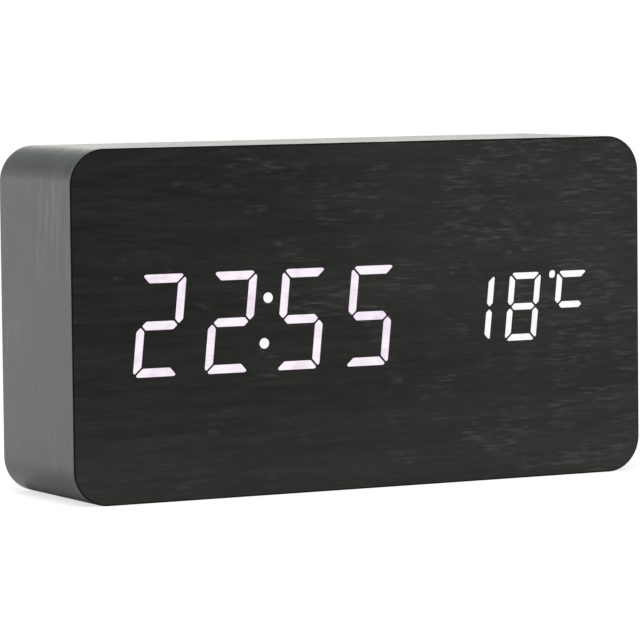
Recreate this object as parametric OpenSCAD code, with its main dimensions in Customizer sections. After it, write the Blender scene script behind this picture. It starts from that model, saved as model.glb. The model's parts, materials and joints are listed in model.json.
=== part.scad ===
// Desk alarm clock in a veneered block, with a lit segment display behind its front skin.
// Frame: +Z up, front towards -Y, origin at the middle of the base. Units: millimetres.

/* [Case] */
// Width of the case
case_w = 150; // [148:1:170]
// Height of the case
case_h = 81; // [78:1:100]
// Depth of the case, front to back
case_d = 40; // [39:0.5:50]
// Radius of the case's corners, seen from the front
corner_r = 8.5; // [5:0.5:10]
// Thickness of the veneer on every outer face
veneer_t = 0.5; // [0.3:0.1:0.8]
// Thickness of the core's side walls
wall_t = 6; // [5:0.5:6.5]
// Thickness of the core's front wall
front_wall_t = 5.6; // [5:0.1:6.5]
// Side of the square posts in the core's corners
post_s = 9; // [8.5:0.5:9.5]

/* [Display] */
// Height of a time digit
digit_h = 23.3; // [20:0.1:26]
// Width of a time digit
digit_w = 11.5; // [10:0.1:12.5]
// Stroke of a time digit
digit_stroke = 1.95; // [1.7:0.05:2.4]
// Distance from one time digit to the next
digit_pitch = 18.1; // [17.5:0.1:19]
// Distance of the time's middle from the left side of the case
digit_inset = 49; // [47:0.5:51]
// Height of a temperature digit
small_h = 16.1; // [13:0.1:20]
// Width of a temperature digit
small_w = 8.5; // [7.5:0.1:9.5]
// Stroke of a temperature digit
small_stroke = 1.5; // [1.3:0.05:1.9]
// Distance from one temperature digit to the next
small_pitch = 12.7; // [12:0.1:13.5]
// Distance of the temperature's middle from the right side of the case
small_inset = 32.4; // [31:0.1:34]
// Lean of the digits from upright, in degrees
slant = 6; // [0:1:10]
// Gap between two segments
segment_gap = 0.5; // [0.3:0.05:0.7]
// Diameter of a colon dot
colon_d = 2.4; // [2:0.1:3.2]
// Distance between the colon's dots
colon_rise = 10.5; // [8:0.5:13]
// Depth of a segment's lens behind the front skin
lens_depth = 2.5; // [1.5:0.1:4]
// Rim of the segment frame round the digits
frame_rim = 3; // [2.5:0.1:4]
// Thickness of both circuit boards
board_t = 1.6; // [1:0.2:2]

/* [Rear cover] */
// Thickness of the cover's plate
cover_t = 2; // [1.8:0.1:2.4]
// Depth of the cover below the rear rim
cover_recess = 1; // [0.8:0.1:1.5]
// Width of the ledge that carries the cover
ledge_w = 2; // [1.5:0.5:3]
// Clearance round the cover in its rebate
cover_gap = 0.2; // [0.1:0.05:0.4]
// Width of the sound slots
slot_w = 1.2; // [0.8:0.1:1.6]

/* [Buttons] */
// Diameter of a button
button_d = 7; // [5:0.5:9]
// How far a button stands out of the cover
button_proud = 0.8; // [0.5:0.1:0.8]
// Travel of a button
button_travel = 0.4; // [0.2:0.05:0.6]
// Distance from one button to the next
button_pitch = 13; // [11:0.5:14]
// Side of a switch's square body
switch_s = 6; // [5:0.5:7]
// Height of a switch's body
switch_h = 3.5; // [3:0.1:4]
// Height of a plunger above its switch's body
plunger_h = 1.5; // [1.2:0.1:2]

/* [Battery bay] */
// Diameter of a cell
cell_d = 10.5; // [10:0.1:10.8]
// Length of a cell with its cap
cell_l = 44.5; // [42:0.1:45]
// Length of a fitted contact spring
spring_l = 4.8; // [4:0.1:5.5]
// Turns of a contact spring
spring_turns = 3.5; // [2.5:0.5:3.5]
// Diameter of the spring's wire
spring_wire = 0.6; // [0.4:0.1:0.7]
// Thickness of the bay's walls
bay_wall = 2.2; // [2.1:0.1:2.4]
// Thickness of the battery door
door_t = 1.6; // [1.4:0.1:1.8]
// Clearance round the door
door_gap = 0.2; // [0.15:0.05:0.3]
// Diameter of the door's hinge pins
hinge_d = 1.5; // [1.2:0.1:1.6]

/* [Hidden] */
$fn = 64;

// Overlap that makes a cut run past a face
eps = 0.1;
// Close fit of a piece that is set in its seat
seat_gap = 0.05;
// Radial clearance of a piece that slides or turns
run_gap = 0.05;
mid_z = case_h / 2;

// Depths through the case, from the front skin to the rear rim
front_y = -case_d / 2;
skin_y = front_y + veneer_t;
wall_y = skin_y + front_wall_t;
display_back_y = wall_y + board_t;
rear_y = case_d / 2;
core_back_y = rear_y - veneer_t;
cover_out_y = rear_y - cover_recess;
cover_in_y = cover_out_y - cover_t;

// Core, pocket and rebate
core_w = case_w - 2 * veneer_t;
core_h = case_h - 2 * veneer_t;
core_r = corner_r - veneer_t;
pocket_w = core_w - 2 * wall_t;
pocket_h = core_h - 2 * wall_t;
pocket_r = 3;
rebate_w = pocket_w + 2 * ledge_w;
rebate_h = pocket_h + 2 * ledge_w;
rebate_r = 4;

// Cover screws, each in the middle of a corner post
boss_h = 2;
post_top_y = cover_in_y - boss_h;
cover_screw_x = pocket_w / 2 - post_s / 2;
cover_screw_z = pocket_h / 2 - post_s / 2;
cover_screw_d = 2.6;
cover_head_d = 5.4;
cover_head_h = 1.5;
cover_screw_l = 9;
cover_floor_t = 2.2;
cover_boss_d = 8;
head_gap = 0.3;
hole_gap = 0.2;
tip_gap = 0.3;

// Board screws
board_screw_d = 2.2;
board_head_d = 4.4;
board_head_h = 1.4;
display_screw_l = 4.5;
button_screw_l = 5.9;

// Display, from the digits outwards
lean = tan(slant);
small_rise = 0.5;
unit_out = 0.35;
time_x = digit_inset - case_w / 2;
small_x = case_w / 2 - small_inset;
digit_xs = [for (i = [-1.5:1:1.5]) time_x + i * digit_pitch];
small_xs = [small_x - small_pitch, small_x, small_x + small_pitch + unit_out];
display_reach = max(-digit_xs[0] + digit_w / 2, small_xs[2] + small_w / 2) + digit_h / 2 * lean;
frame_w = 2 * (display_reach + frame_rim);
frame_h = digit_h + 2 * frame_rim;
frame_gap = 0.2;
board_lap = 1.5;
screw_inset = 5;
screw_rise = 3.8;
board_rim = 3.7;
display_board_w = frame_w + 2 * board_lap;
display_board_h = frame_h + 2 * (screw_rise + board_rim);
display_screw_x = frame_w / 2 - screw_inset;
display_screw_z = frame_h / 2 + screw_rise;
colon_x = digit_xs[1] + digit_pitch / 2;
degree_w = 1.5;
degree_h = 1.8;
degree_cut = 0.4;
degree_out = 0.65;
degree_up = 0.25;
degree_x = small_xs[2] - small_w / 2 - degree_out;
degree_z = mid_z + small_rise + small_h / 2 - degree_h / 2 + degree_up;
led_l = 1.6;
led_w = 0.8;
led_h = 0.7;

// Parts on the display board's back
chip_lift = 0.15;
chip_h = 1.75;
leg_pitch = 1.27;
leg_w = 0.4;
leg_t = 0.2;
leg_foot = 0.8;
leg_rise = 1.1;
controller_out = 8;
controller_x = time_x + controller_out;
controller_l = 18;
controller_w = 7.5;
controller_legs = 14;
driver_in = 20;
driver_x = time_x - driver_in;
driver_l = 10;
driver_w = 3.9;
driver_legs = 8;
chip_rise = 3;
chip_z = mid_z + chip_rise;
crystal_drop = 9;
crystal_z = mid_z - crystal_drop;
crystal_d = 2;
crystal_l = 6;
crystal_leg_l = 3;
crystal_leg_w = 0.3;
coin_d = 20;
coin_h = 3.2;
coin_cup_d = 17.6;
coin_cup_h = 0.5;
coin_edge = 0.3;
coin_gap = 0.15;
holder_floor = 0.6;
holder_lip = 1.2;
holder_lug_w = 6;
holder_lug_l = 2.4;
holder_mouth = 10;
holder_gap = 1;

// Segments of a digit: a is the top one, then clockwise, and g is the middle one
ALL_ON = [0, 1, 2, 3, 4, 5, 6];
TWO = [0, 1, 3, 4, 6];
FIVE = [0, 2, 3, 5, 6];
ONE = [1, 2];
UNIT = [0, 5, 6];
UNIT_WELLS = [0, 4, 5, 6];

// Control board and what stands on it
control_w = 47;
control_h = 36;
control_gap = 1;
control_x = pocket_w / 2 - post_s - control_gap - control_w / 2;
flange_gap = 0.2;
flange_t = 0.9;
flange_over = 1.1;
button_back_y = cover_in_y - flange_gap - flange_t;
control_back_y = button_back_y - plunger_h - switch_h;
control_front_y = control_back_y - board_t;
button_rise = 8;
button_z = mid_z + button_rise;
button_xs = [for (i = [1:-1:-1]) control_x + i * button_pitch];
button_edge = 0.4;
button_dish = 0.15;
dish_share = 0.7;
plunger_d = 3.4;
plunger_seat = 1.5;
plunger_end = 0.1;
boss_d = 5.2;
boss_inset = 3.5;
boss_x = control_w / 2 - boss_inset;
boss_z = control_h / 2 - boss_inset;
socket_out = 13;
socket_drop = 8;
socket_x = control_x + socket_out;
socket_z = mid_z - socket_drop;
socket_s = 8;
socket_nose_d = 7.2;
socket_nose_gap = 0.15;
socket_shoulder = 0.3;
socket_bore_d = 3.7;
socket_pin_d = 1.3;
socket_pin_tip = 0.3;
socket_pin_drop = 0.6;
socket_floor = 1;
buzzer_in = 9;
buzzer_drop = 8;
buzzer_x = control_x - buzzer_in;
buzzer_z = mid_z - buzzer_drop;
buzzer_d = 12;
buzzer_gap = 0.6;
buzzer_hole_d = 2.2;
buzzer_hole_h = 1.5;
buzzer_slot_l = 9;
buzzer_slot_step = 1.5;
microphone_out = 2;
microphone_drop = 11;
microphone_x = control_x + microphone_out;
microphone_z = mid_z - microphone_drop;
microphone_d = 6;
microphone_h = 2.7;
microphone_face_d = 4;
microphone_face_h = 0.3;
microphone_hole_d = 1.6;
sensor_in = 20;
sensor_drop = 1;
sensor_x = control_x - sensor_in;
sensor_z = mid_z - sensor_drop;
sensor_d = 2.4;
sensor_rise = 3.5;
sensor_leg_d = 0.5;
sensor_spread = 1.2;
sensor_slot_l = 7;

// Ribbon and its two headers
header_w = 14;
header_d = 5;
header_h = 4;
header_wall = 1;
header_mouth = 1.2;
header_drop = 12;
header_in = 6;
header_x = control_x - header_in;
button_header_z = mid_z + header_drop / 2;
display_header_z = mid_z - header_drop / 2;
button_header_y = control_front_y - header_h;
display_header_y = display_back_y + header_h;
coin_x = header_x + header_w / 2 + holder_gap + holder_lip + coin_d / 2;
ribbon_w = 11;
ribbon_t = 0.9;
ribbon_bend = 3;

// Battery bay
cells = 4;
cell_gap = 0.4;
contact_t = 0.4;
cell_pitch = cell_d + cell_gap;
bay_l = cell_l + spring_l + 2 * contact_t + 2 * seat_gap;
bay_h = cells * cell_pitch;
bay_gap = 0.5;
bay_x0 = -pocket_w / 2 + post_s + bay_gap + bay_wall;
bay_x1 = bay_x0 + bay_l;
bay_z0 = mid_z - bay_h / 2;
bay_z1 = mid_z + bay_h / 2;
bay_mid_x = (bay_x0 + bay_x1) / 2;
door_in_y = cover_out_y - door_t;
cell_headroom = 0.6;
cell_floor_gap = 0.1;
cell_y = door_in_y - cell_headroom - cell_d / 2;
cell_cap_h = 1;
cell_cap_d = 3.8;
cell_cap_edge = 0.2;
cell_edge = 0.5;
cell_foot_h = 0.15;
cell_foot_in = 1.3;
bay_floor_y = cell_y - cell_d / 2 - cell_floor_gap;
bay_floor_t = 1.5;
ridge_h = 2.2;
ridge_w = 3;
ridge_top = 0.3;
ridge_inset = 10;

// Battery door and its hinge
door_seat = 1;
door_l = bay_l + 2 * (door_seat - door_gap);
door_top_z = bay_z1 + door_seat - door_gap;
barrel_over = 0.25;
barrel_gap = 0.15;
barrel_r = door_t / 2 + barrel_over;
hinge_y = cover_out_y - barrel_r;
hinge_z = bay_z0 + barrel_r + barrel_gap;
hinge_socket_l = 1;
hinge_end_gap = 0.2;
tongue_w = 11;
tongue_l = 9;
tongue_cut = 0.8;
grip_w = 7;
grip_t = 0.8;
grip_h = 0.4;
grip_pitch = 1.6;
grip_drop = 2;
scoop_d = 13;
scoop_h = 1.1;

// Contacts, springs and leads
contact_w = 8.4;
contact_margin = 1;
lug_w = 2;
lug_l = 4;
lug_gap = 0.1;
lug_y = cell_y - contact_w / 2 + contact_t / 2;
spring_r0 = 3.6;
spring_r1 = 2.3;
spring_start = 1.4;
spring_steps = 8;
spring_sides = 6;
lead_d = 1.2;
lead_sides = 8;
lead_inset = 4;
lead_rise = 8;
lead_stub = 1.6;
lead_sag = 3.2;

// Helpers

// Lays an outline drawn in X and Z between two depths
module slab(y0, y1) {
    translate([0, y1, 0])
        rotate([90, 0, 0])
            linear_extrude(height = y1 - y0)
                children();
}

// Stands a turned piece on a point with its axis towards the rear
module turned(x, y, z) {
    translate([x, y, z])
        rotate([-90, 0, 0])
            children();
}

// Lays an outline drawn in Y and Z between two places along X
module along_x(x0, x1) {
    translate([x0, 0, 0])
        rotate([90, 0, 90])
            linear_extrude(height = x1 - x0)
                children();
}

// A round bar or bore along Y
module bar_y(x, z, d, y0, y1) {
    turned(x, y0, z)
        cylinder(d = d, h = y1 - y0);
}

// A box between two corners
module block(low, high) {
    translate(low)
        cube(high - low);
}

// A rectangle with round corners, centred
module round_rect(w, h, r) {
    square([w - 2 * r, h], center = true);
    square([w, h - 2 * r], center = true);
    for (sx = [-1, 1], sz = [-1, 1])
        translate([sx * (w / 2 - r), sz * (h / 2 - r)])
            circle(r = r);
}

// The same rectangle at the middle height of the case
module case_rect(w, h, r) {
    translate([0, mid_z])
        round_rect(w, h, r);
}

// A pan head screw that points to -Z, with its head's underside at the origin
module pan_screw(d, l, head_d, head_h) {
    slot = head_d * 0.16;
    difference() {
        union() {
            rotate_extrude()
                polygon([[0, 0], [head_d / 2, 0], [head_d / 2, head_h * 0.45],
                    [head_d * 0.36, head_h], [0, head_h]]);
            translate([0, 0, -l + d / 2])
                cylinder(d = d, h = l - d / 2);
            translate([0, 0, -l])
                cylinder(d1 = d * 0.3, d2 = d, h = d / 2);
        }
        for (turn = [0, 90])
            rotate([0, 0, turn])
                translate([-head_d * 0.28, -slot / 2, head_h * 0.4])
                    cube([head_d * 0.56, slot, head_h]);
    }
}

// The four corners of a rectangle about a middle point
function corners(x, z, dx, dz) = [for (sx = [-1, 1], sz = [-1, 1]) [x + sx * dx, z + sz * dz]];

// Segment outlines

function leaning(points) = [for (p = points) [p[0] + p[1] * lean, p[1]]];

// A top bar with mitred ends and blunted tips: w and h are the digit's, t its stroke
function top_bar(w, h, t, gap) =
    let (tip = 0.2 * t, x = w / 2 - tip - gap / sqrt(2), z = h / 2)
    [[-x + tip, z], [x - tip, z], [x, z - tip], [x - t + tip, z - t], [-x + t - tip, z - t], [-x, z - tip]];

// An upper right bar, mitred at the top and pointed at the middle
function side_bar(w, h, t, gap) =
    let (tip = 0.2 * t, z = h / 2 - tip - gap / sqrt(2), x = w / 2, end = gap / sqrt(2))
    [[x - t, z - t + tip], [x - tip, z], [x, z - tip],
        [x, end + t / 2], [x - t / 2, end], [x - t, end + t / 2]];

// A middle bar, pointed at both ends
function middle_bar(w, t, gap) =
    let (x = w / 2 - t / 2 - gap / sqrt(2))
    [[-x, 0], [-x + t / 2, t / 2], [x - t / 2, t / 2], [x, 0], [x - t / 2, -t / 2], [-x + t / 2, -t / 2]];

function mirrored(points, sx, sz) = [for (p = points) [sx * p[0], sz * p[1]]];

// One segment of a digit, made larger all round by grow
function segment(i, w, h, t, grow) =
    let (gw = w + 2 * grow, gh = h + 2 * grow, gt = t + 2 * grow, gap = segment_gap - 2 * grow)
    leaning(
        i == 0 ? top_bar(gw, gh, gt, gap) :
        i == 3 ? mirrored(top_bar(gw, gh, gt, gap), 1, -1) :
        i == 6 ? middle_bar(gw, gt, gap) :
        mirrored(side_bar(gw, gh, gt, gap), i < 3 ? 1 : -1, i == 1 || i == 5 ? 1 : -1));

// The middle of a segment, where its light sits
function segment_centre(i, w, h, t) =
    let (points = segment(i, w, h, t, 0), ones = [for (p = points) 1])
    ones * points / len(points);

module digit(which, x, z, w, h, t, grow) {
    for (i = which)
        translate([x, z])
            polygon(segment(i, w, h, t, grow));
}

module time_digit(which, place, grow) {
    digit(which, digit_xs[place], mid_z, digit_w, digit_h, digit_stroke, grow);
}

module small_digit(which, place, grow) {
    digit(which, small_xs[place], mid_z + small_rise, small_w, small_h, small_stroke, grow);
}

// The middle of the upper dot, s = 1, or of the lower one, s = -1
function colon_centre(s) = [colon_x + s * colon_rise / 2 * lean, mid_z + s * colon_rise / 2];

module colon_outline(grow) {
    for (s = [-1, 1])
        translate(colon_centre(s))
            circle(d = colon_d + 2 * grow);
}

module degree_outline(grow) {
    w = degree_w / 2 + grow;
    h = degree_h / 2 + grow;
    cut = degree_cut;
    translate([degree_x, degree_z])
        polygon(leaning([[-w + cut, h], [w - cut, h], [w, h - cut], [w, -h + cut],
            [w - cut, -h], [-w + cut, -h], [-w, -h + cut], [-w, h - cut]]));
}

// What is lit: 22:55 and 18 degrees
module lit_outline(grow) {
    for (place = [0, 1]) {
        time_digit(TWO, place, grow);
        time_digit(FIVE, place + 2, grow);
    }
    colon_outline(grow);
    small_digit(ONE, 0, grow);
    small_digit(ALL_ON, 1, grow);
    small_digit(UNIT, 2, grow);
    degree_outline(grow);
}

function without(all, some) = [for (i = all) if (len(search(i, some)) == 0) i];

module unlit_outline(grow) {
    for (place = [0, 1]) {
        time_digit(without(ALL_ON, TWO), place, grow);
        time_digit(without(ALL_ON, FIVE), place + 2, grow);
    }
    small_digit(without(ALL_ON, ONE), 0, grow);
    small_digit(without(UNIT_WELLS, UNIT), 2, grow);
}

// Case

module case_core() {
    color("tan")
        difference() {
            slab(skin_y, core_back_y)
                case_rect(core_w, core_h, core_r);
            core_pocket();
            slab(cover_in_y, core_back_y + eps)
                case_rect(rebate_w, rebate_h, rebate_r);
            slab(skin_y - eps, wall_y + eps)
                translate([0, mid_z])
                    square([frame_w + 2 * frame_gap, frame_h + 2 * frame_gap], center = true);
            core_screw_holes();
        }
}

// Blind holes for the cover's screws and for the display board's
module core_screw_holes() {
    cover_tip_y = post_top_y + cover_floor_t - cover_screw_l - tip_gap;
    display_tip_y = display_back_y - display_screw_l - tip_gap;
    for (p = corners(0, mid_z, cover_screw_x, cover_screw_z))
        bar_y(p[0], p[1], cover_screw_d + 2 * seat_gap, cover_tip_y, post_top_y + eps);
    for (p = corners(0, mid_z, display_screw_x, display_screw_z))
        bar_y(p[0], p[1], board_screw_d + 2 * seat_gap, display_tip_y, wall_y + eps);
}

// The hollow behind the front wall, with a post left standing in each corner
module core_pocket() {
    slab(wall_y, cover_in_y + eps)
        difference() {
            case_rect(pocket_w, pocket_h, pocket_r);
            post_outline();
        }
    slab(post_top_y, cover_in_y + eps)
        intersection() {
            case_rect(pocket_w, pocket_h, pocket_r);
            post_outline();
        }
}

module post_outline() {
    for (p = corners(0, mid_z, cover_screw_x, cover_screw_z))
        translate(p)
            square(post_s, center = true);
}

module front_veneer() {
    color("#2b2c29")
        slab(front_y, skin_y)
            difference() {
                case_rect(case_w, case_h, corner_r);
                lit_outline(seat_gap);
            }
}

module edge_band() {
    color("#3a3a38")
        slab(skin_y, core_back_y)
            difference() {
                case_rect(case_w, case_h, corner_r);
                case_rect(core_w, core_h, core_r);
            }
}

module rear_veneer() {
    color("#2b2c29")
        slab(core_back_y, rear_y)
            difference() {
                case_rect(case_w, case_h, corner_r);
                case_rect(rebate_w, rebate_h, rebate_r);
            }
}

// Display

module segment_frame() {
    color("#141414")
        difference() {
            slab(skin_y, wall_y)
                translate([0, mid_z])
                    square([frame_w, frame_h], center = true);
            slab(skin_y - eps, wall_y + eps) {
                lit_outline(seat_gap);
                unlit_outline(seat_gap);
            }
        }
}

module lens(from_y) {
    slab(from_y, skin_y + lens_depth)
        children();
}

module hour_segments() {
    color("white")
        lens(front_y)
            for (place = [0, 1])
                time_digit(TWO, place, 0);
}

module minute_segments() {
    color("white")
        lens(front_y)
            for (place = [2, 3])
                time_digit(FIVE, place, 0);
}

module colon_dots() {
    color("white")
        lens(front_y)
            colon_outline(0);
}

module temperature_segments() {
    color("white")
        lens(front_y) {
            small_digit(ONE, 0, 0);
            small_digit(ALL_ON, 1, 0);
            small_digit(UNIT, 2, 0);
        }
}

module degree_mark() {
    color("white")
        lens(front_y)
            degree_outline(0);
}

module unlit_segments() {
    color("gainsboro")
        lens(skin_y)
            unlit_outline(0);
}

module led_chips() {
    color("khaki")
        slab(wall_y - led_h, wall_y) {
            for (x = digit_xs, i = ALL_ON)
                led_at([x, mid_z] + segment_centre(i, digit_w, digit_h, digit_stroke), i % 3 == 0);
            for (place = [0, 1, 2], i = place == 2 ? UNIT_WELLS : ALL_ON)
                led_at([small_xs[place], mid_z + small_rise]
                    + segment_centre(i, small_w, small_h, small_stroke), i % 3 == 0);
            for (s = [-1, 1])
                led_at(colon_centre(s), true);
            led_at([degree_x, degree_z], false);
        }
}

// A light's outline, lying along its segment
module led_at(p, lies_flat) {
    translate(p)
        square(lies_flat ? [led_l, led_w] : [led_w, led_l], center = true);
}

module display_board() {
    color("darkgreen")
        difference() {
            slab(wall_y, display_back_y)
                translate([0, mid_z])
                    square([display_board_w, display_board_h], center = true);
            for (p = corners(0, mid_z, display_screw_x, display_screw_z))
                bar_y(p[0], p[1], board_screw_d + 2 * hole_gap, wall_y - eps, display_back_y + eps);
        }
}

module display_board_screws() {
    color("silver")
        for (p = corners(0, mid_z, display_screw_x, display_screw_z))
            turned(p[0], display_back_y, p[1])
                pan_screw(board_screw_d, display_screw_l, board_head_d, board_head_h);
}

// A small outline chip with a row of bent legs on each side
module chip(x, l, w, legs) {
    base_y = display_back_y;
    knee_y = base_y + leg_rise;
    body_y = base_y + chip_lift;
    block([x - l / 2, body_y, chip_z - w / 2], [x + l / 2, body_y + chip_h, chip_z + w / 2]);
    for (i = [0:legs - 1], side = [0, 1])
        translate([x + (i - (legs - 1) / 2) * leg_pitch - leg_w / 2, 0, chip_z])
            mirror([0, 0, side])
                along_x(0, leg_w)
                    polygon([[knee_y, w / 2 - eps], [knee_y, w / 2 + leg_t * 2],
                        [base_y + leg_t, w / 2 + leg_t * 2], [base_y + leg_t, w / 2 + leg_foot],
                        [base_y, w / 2 + leg_foot], [base_y, w / 2 + leg_t],
                        [knee_y - leg_t, w / 2 + leg_t], [knee_y - leg_t, w / 2 - eps]]);
}

module controller_chip() {
    color("#222222")
        chip(controller_x, controller_l, controller_w, controller_legs);
}

module driver_chip() {
    color("#222222")
        chip(driver_x, driver_l, driver_w, driver_legs);
}

// A round can that lies on the board, with two legs
module clock_crystal() {
    color("silver")
        translate([controller_x, display_back_y + crystal_d / 2, crystal_z]) {
            rotate([0, 90, 0])
                cylinder(d = crystal_d, h = crystal_l);
            for (s = [-1, 1])
                translate([-crystal_leg_l, -crystal_d / 2, s * crystal_leg_w - crystal_leg_w / 2])
                    cube([crystal_leg_l + eps, crystal_d / 2 + crystal_leg_w / 2, crystal_leg_w]);
        }
}

// A round cup with a lug at each end and a mouth that the coin cell slides in by
module cell_holder() {
    floor_y = display_back_y + holder_floor;
    top_y = floor_y + coin_h;
    lug_z = coin_d / 2 + holder_lug_l;
    color("#1c1c1c")
        difference() {
            union() {
                bar_y(coin_x, mid_z, coin_d + 2 * holder_lip, display_back_y, top_y);
                block([coin_x - holder_lug_w / 2, display_back_y, mid_z - lug_z],
                    [coin_x + holder_lug_w / 2, display_back_y + holder_lug_l, mid_z + lug_z]);
            }
            bar_y(coin_x, mid_z, coin_d + 2 * coin_gap, floor_y, top_y + eps);
            block([coin_x - holder_mouth / 2, floor_y, mid_z],
                [coin_x + holder_mouth / 2, top_y + eps, mid_z + coin_d]);
        }
}

module backup_cell() {
    r = coin_d / 2;
    cup_r = coin_cup_d / 2;
    color("silver")
        turned(coin_x, display_back_y + holder_floor, mid_z)
            rotate_extrude()
                polygon([[0, 0], [cup_r - coin_edge, 0], [cup_r, coin_cup_h], [r - coin_edge, coin_cup_h],
                    [r, coin_cup_h + coin_edge], [r, coin_h - coin_edge],
                    [r - coin_edge, coin_h], [0, coin_h]]);
}

// A plug housing on a board, with its mouth at depth mouth_y: out is the way that it stands
module header(base_y, z, out) {
    mouth_y = base_y + out * header_h;
    floor_y = mouth_y - out * header_mouth;
    difference() {
        slab(min(base_y, mouth_y), max(base_y, mouth_y))
            translate([header_x, z])
                square([header_w, header_d], center = true);
        slab(min(floor_y, mouth_y + out * eps), max(floor_y, mouth_y + out * eps))
            translate([header_x, z])
                square([header_w - 2 * header_wall, header_d - 2 * header_wall], center = true);
    }
}

module display_header() {
    color("ivory")
        header(display_back_y, display_header_z, 1);
}

module button_header() {
    color("ivory")
        header(control_front_y, button_header_z, -1);
}

// A flat ribbon in two bends between the mouths of the two headers
module ribbon_cable() {
    fall_y = (button_header_y + display_header_y) / 2;
    color("lightgray")
        along_x(header_x - ribbon_w / 2, header_x + ribbon_w / 2) {
            ribbon_run(fall_y + ribbon_bend, button_header_y + header_mouth, button_header_z);
            ribbon_run(display_header_y - header_mouth, fall_y - ribbon_bend, display_header_z);
            translate([fall_y - ribbon_t / 2, display_header_z + ribbon_bend])
                square([ribbon_t, header_drop - 2 * ribbon_bend]);
            translate([fall_y + ribbon_bend, button_header_z - ribbon_bend])
                ribbon_corner(-1, 1);
            translate([fall_y - ribbon_bend, display_header_z + ribbon_bend])
                ribbon_corner(1, -1);
        }
}

module ribbon_run(y0, y1, z) {
    translate([y0, z - ribbon_t / 2])
        square([y1 - y0, ribbon_t]);
}

module ribbon_corner(sx, sz) {
    intersection() {
        difference() {
            circle(r = ribbon_bend + ribbon_t / 2);
            circle(r = ribbon_bend - ribbon_t / 2);
        }
        translate([sx > 0 ? 0 : -2 * ribbon_bend, sz > 0 ? 0 : -2 * ribbon_bend])
            square(2 * ribbon_bend);
    }
}

// Rear cover

module rear_cover() {
    color("#1a1a1a")
        difference() {
            union() {
                slab(cover_in_y, cover_out_y)
                    case_rect(rebate_w - 2 * cover_gap, rebate_h - 2 * cover_gap, rebate_r - cover_gap);
                for (p = corners(0, mid_z, cover_screw_x, cover_screw_z))
                    bar_y(p[0], p[1], cover_boss_d, post_top_y, cover_in_y + eps);
                for (p = corners(control_x, mid_z, boss_x, boss_z))
                    bar_y(p[0], p[1], boss_d, control_back_y, cover_in_y + eps);
                block([bay_x0 - bay_wall, bay_floor_y - bay_floor_t, bay_z0 - bay_wall],
                    [bay_x1 + bay_wall, cover_in_y + eps, bay_z1 + bay_wall]);
            }
            cover_screw_holes();
            control_holes();
            bay_hollow();
        }
    color("#1a1a1a")
        bay_ridges();
}

module cover_screw_holes() {
    for (p = corners(0, mid_z, cover_screw_x, cover_screw_z)) {
        bar_y(p[0], p[1], cover_screw_d + 2 * head_gap, post_top_y - eps, cover_out_y + eps);
        bar_y(p[0], p[1], cover_head_d + 2 * head_gap, post_top_y + cover_floor_t, cover_out_y + eps);
    }
}

// The bosses' blind holes, and the openings for buttons, socket, microphone, buzzer and sensor
module control_holes() {
    boss_tip_y = control_front_y + button_screw_l + tip_gap;
    for (x = button_xs)
        bar_y(x, button_z, button_d + 4 * run_gap, cover_in_y - eps, cover_out_y + eps);
    for (p = corners(control_x, mid_z, boss_x, boss_z))
        bar_y(p[0], p[1], board_screw_d + 2 * seat_gap, control_back_y - eps, boss_tip_y);
    bar_y(socket_x, socket_z, socket_nose_d + 2 * socket_nose_gap, cover_in_y - eps, cover_out_y + eps);
    bar_y(microphone_x, microphone_z, microphone_hole_d, cover_in_y - eps, cover_out_y + eps);
    for (i = [-2:2])
        vent(buzzer_x + i * slot_w * 2, buzzer_z, buzzer_slot_l - buzzer_slot_step * abs(i));
    for (i = [-1:1])
        vent(sensor_x + i * slot_w * 2, sensor_z, sensor_slot_l);
}

// A slot with round ends through the cover
module vent(x, z, l) {
    slab(cover_in_y - eps, cover_out_y + eps)
        translate([x, z]) {
            square([slot_w, l - slot_w], center = true);
            for (s = [-1, 1])
                translate([0, s * (l - slot_w) / 2])
                    circle(d = slot_w);
        }
}

// The bay with the seat and hinge of its door, the finger scoop and the slots for the lugs
module bay_hollow() {
    seat_x0 = bay_x0 - door_seat;
    seat_x1 = bay_x1 + door_seat;
    block([bay_x0, bay_floor_y, bay_z0], [bay_x1, cover_out_y + eps, bay_z1]);
    block([seat_x0, door_in_y - seat_gap, bay_z0], [seat_x1, cover_out_y + eps, bay_z1 + door_seat]);
    block([seat_x0, hinge_y - barrel_r - barrel_gap, bay_z0],
        [seat_x1, cover_out_y + eps, hinge_z + barrel_r + barrel_gap]);
    for (x = [seat_x0 - hinge_socket_l, seat_x1 - eps])
        translate([x, hinge_y, hinge_z])
            rotate([0, 90, 0])
                cylinder(d = hinge_d + 2 * run_gap, h = hinge_socket_l + eps);
    bar_y(bay_mid_x, bay_z1 + door_seat, scoop_d, cover_out_y - scoop_h, cover_out_y + eps);
    for (i = [0, cells - 1])
        block([bay_x1 - eps, lug_y - contact_t / 2 - lug_gap, cell_z(i) - lug_w / 2 - lug_gap],
            [bay_x1 + bay_wall + eps, lug_y + contact_t / 2 + lug_gap, cell_z(i) + lug_w / 2 + lug_gap]);
}

// Ridges on the bay's floor that keep the cells apart
module bay_ridges() {
    for (i = [1:cells - 1])
        translate([0, bay_floor_y, bay_z0 + i * cell_pitch])
            along_x(bay_x0 + ridge_inset, bay_x1 - ridge_inset)
                polygon([[-eps, -ridge_w / 2], [-eps, ridge_w / 2],
                    [ridge_h, ridge_top / 2], [ridge_h, -ridge_top / 2]]);
}

module cover_screws() {
    color("dimgray")
        for (p = corners(0, mid_z, cover_screw_x, cover_screw_z))
            turned(p[0], post_top_y + cover_floor_t, p[1])
                pan_screw(cover_screw_d, cover_screw_l, cover_head_d, cover_head_h);
}

// Controls

module button_board() {
    color("darkgreen")
        difference() {
            block([control_x - control_w / 2, control_front_y, mid_z - control_h / 2],
                [control_x + control_w / 2, control_back_y, mid_z + control_h / 2]);
            for (p = corners(control_x, mid_z, boss_x, boss_z))
                bar_y(p[0], p[1], board_screw_d + 2 * hole_gap, control_front_y - eps, control_back_y + eps);
        }
}

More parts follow.
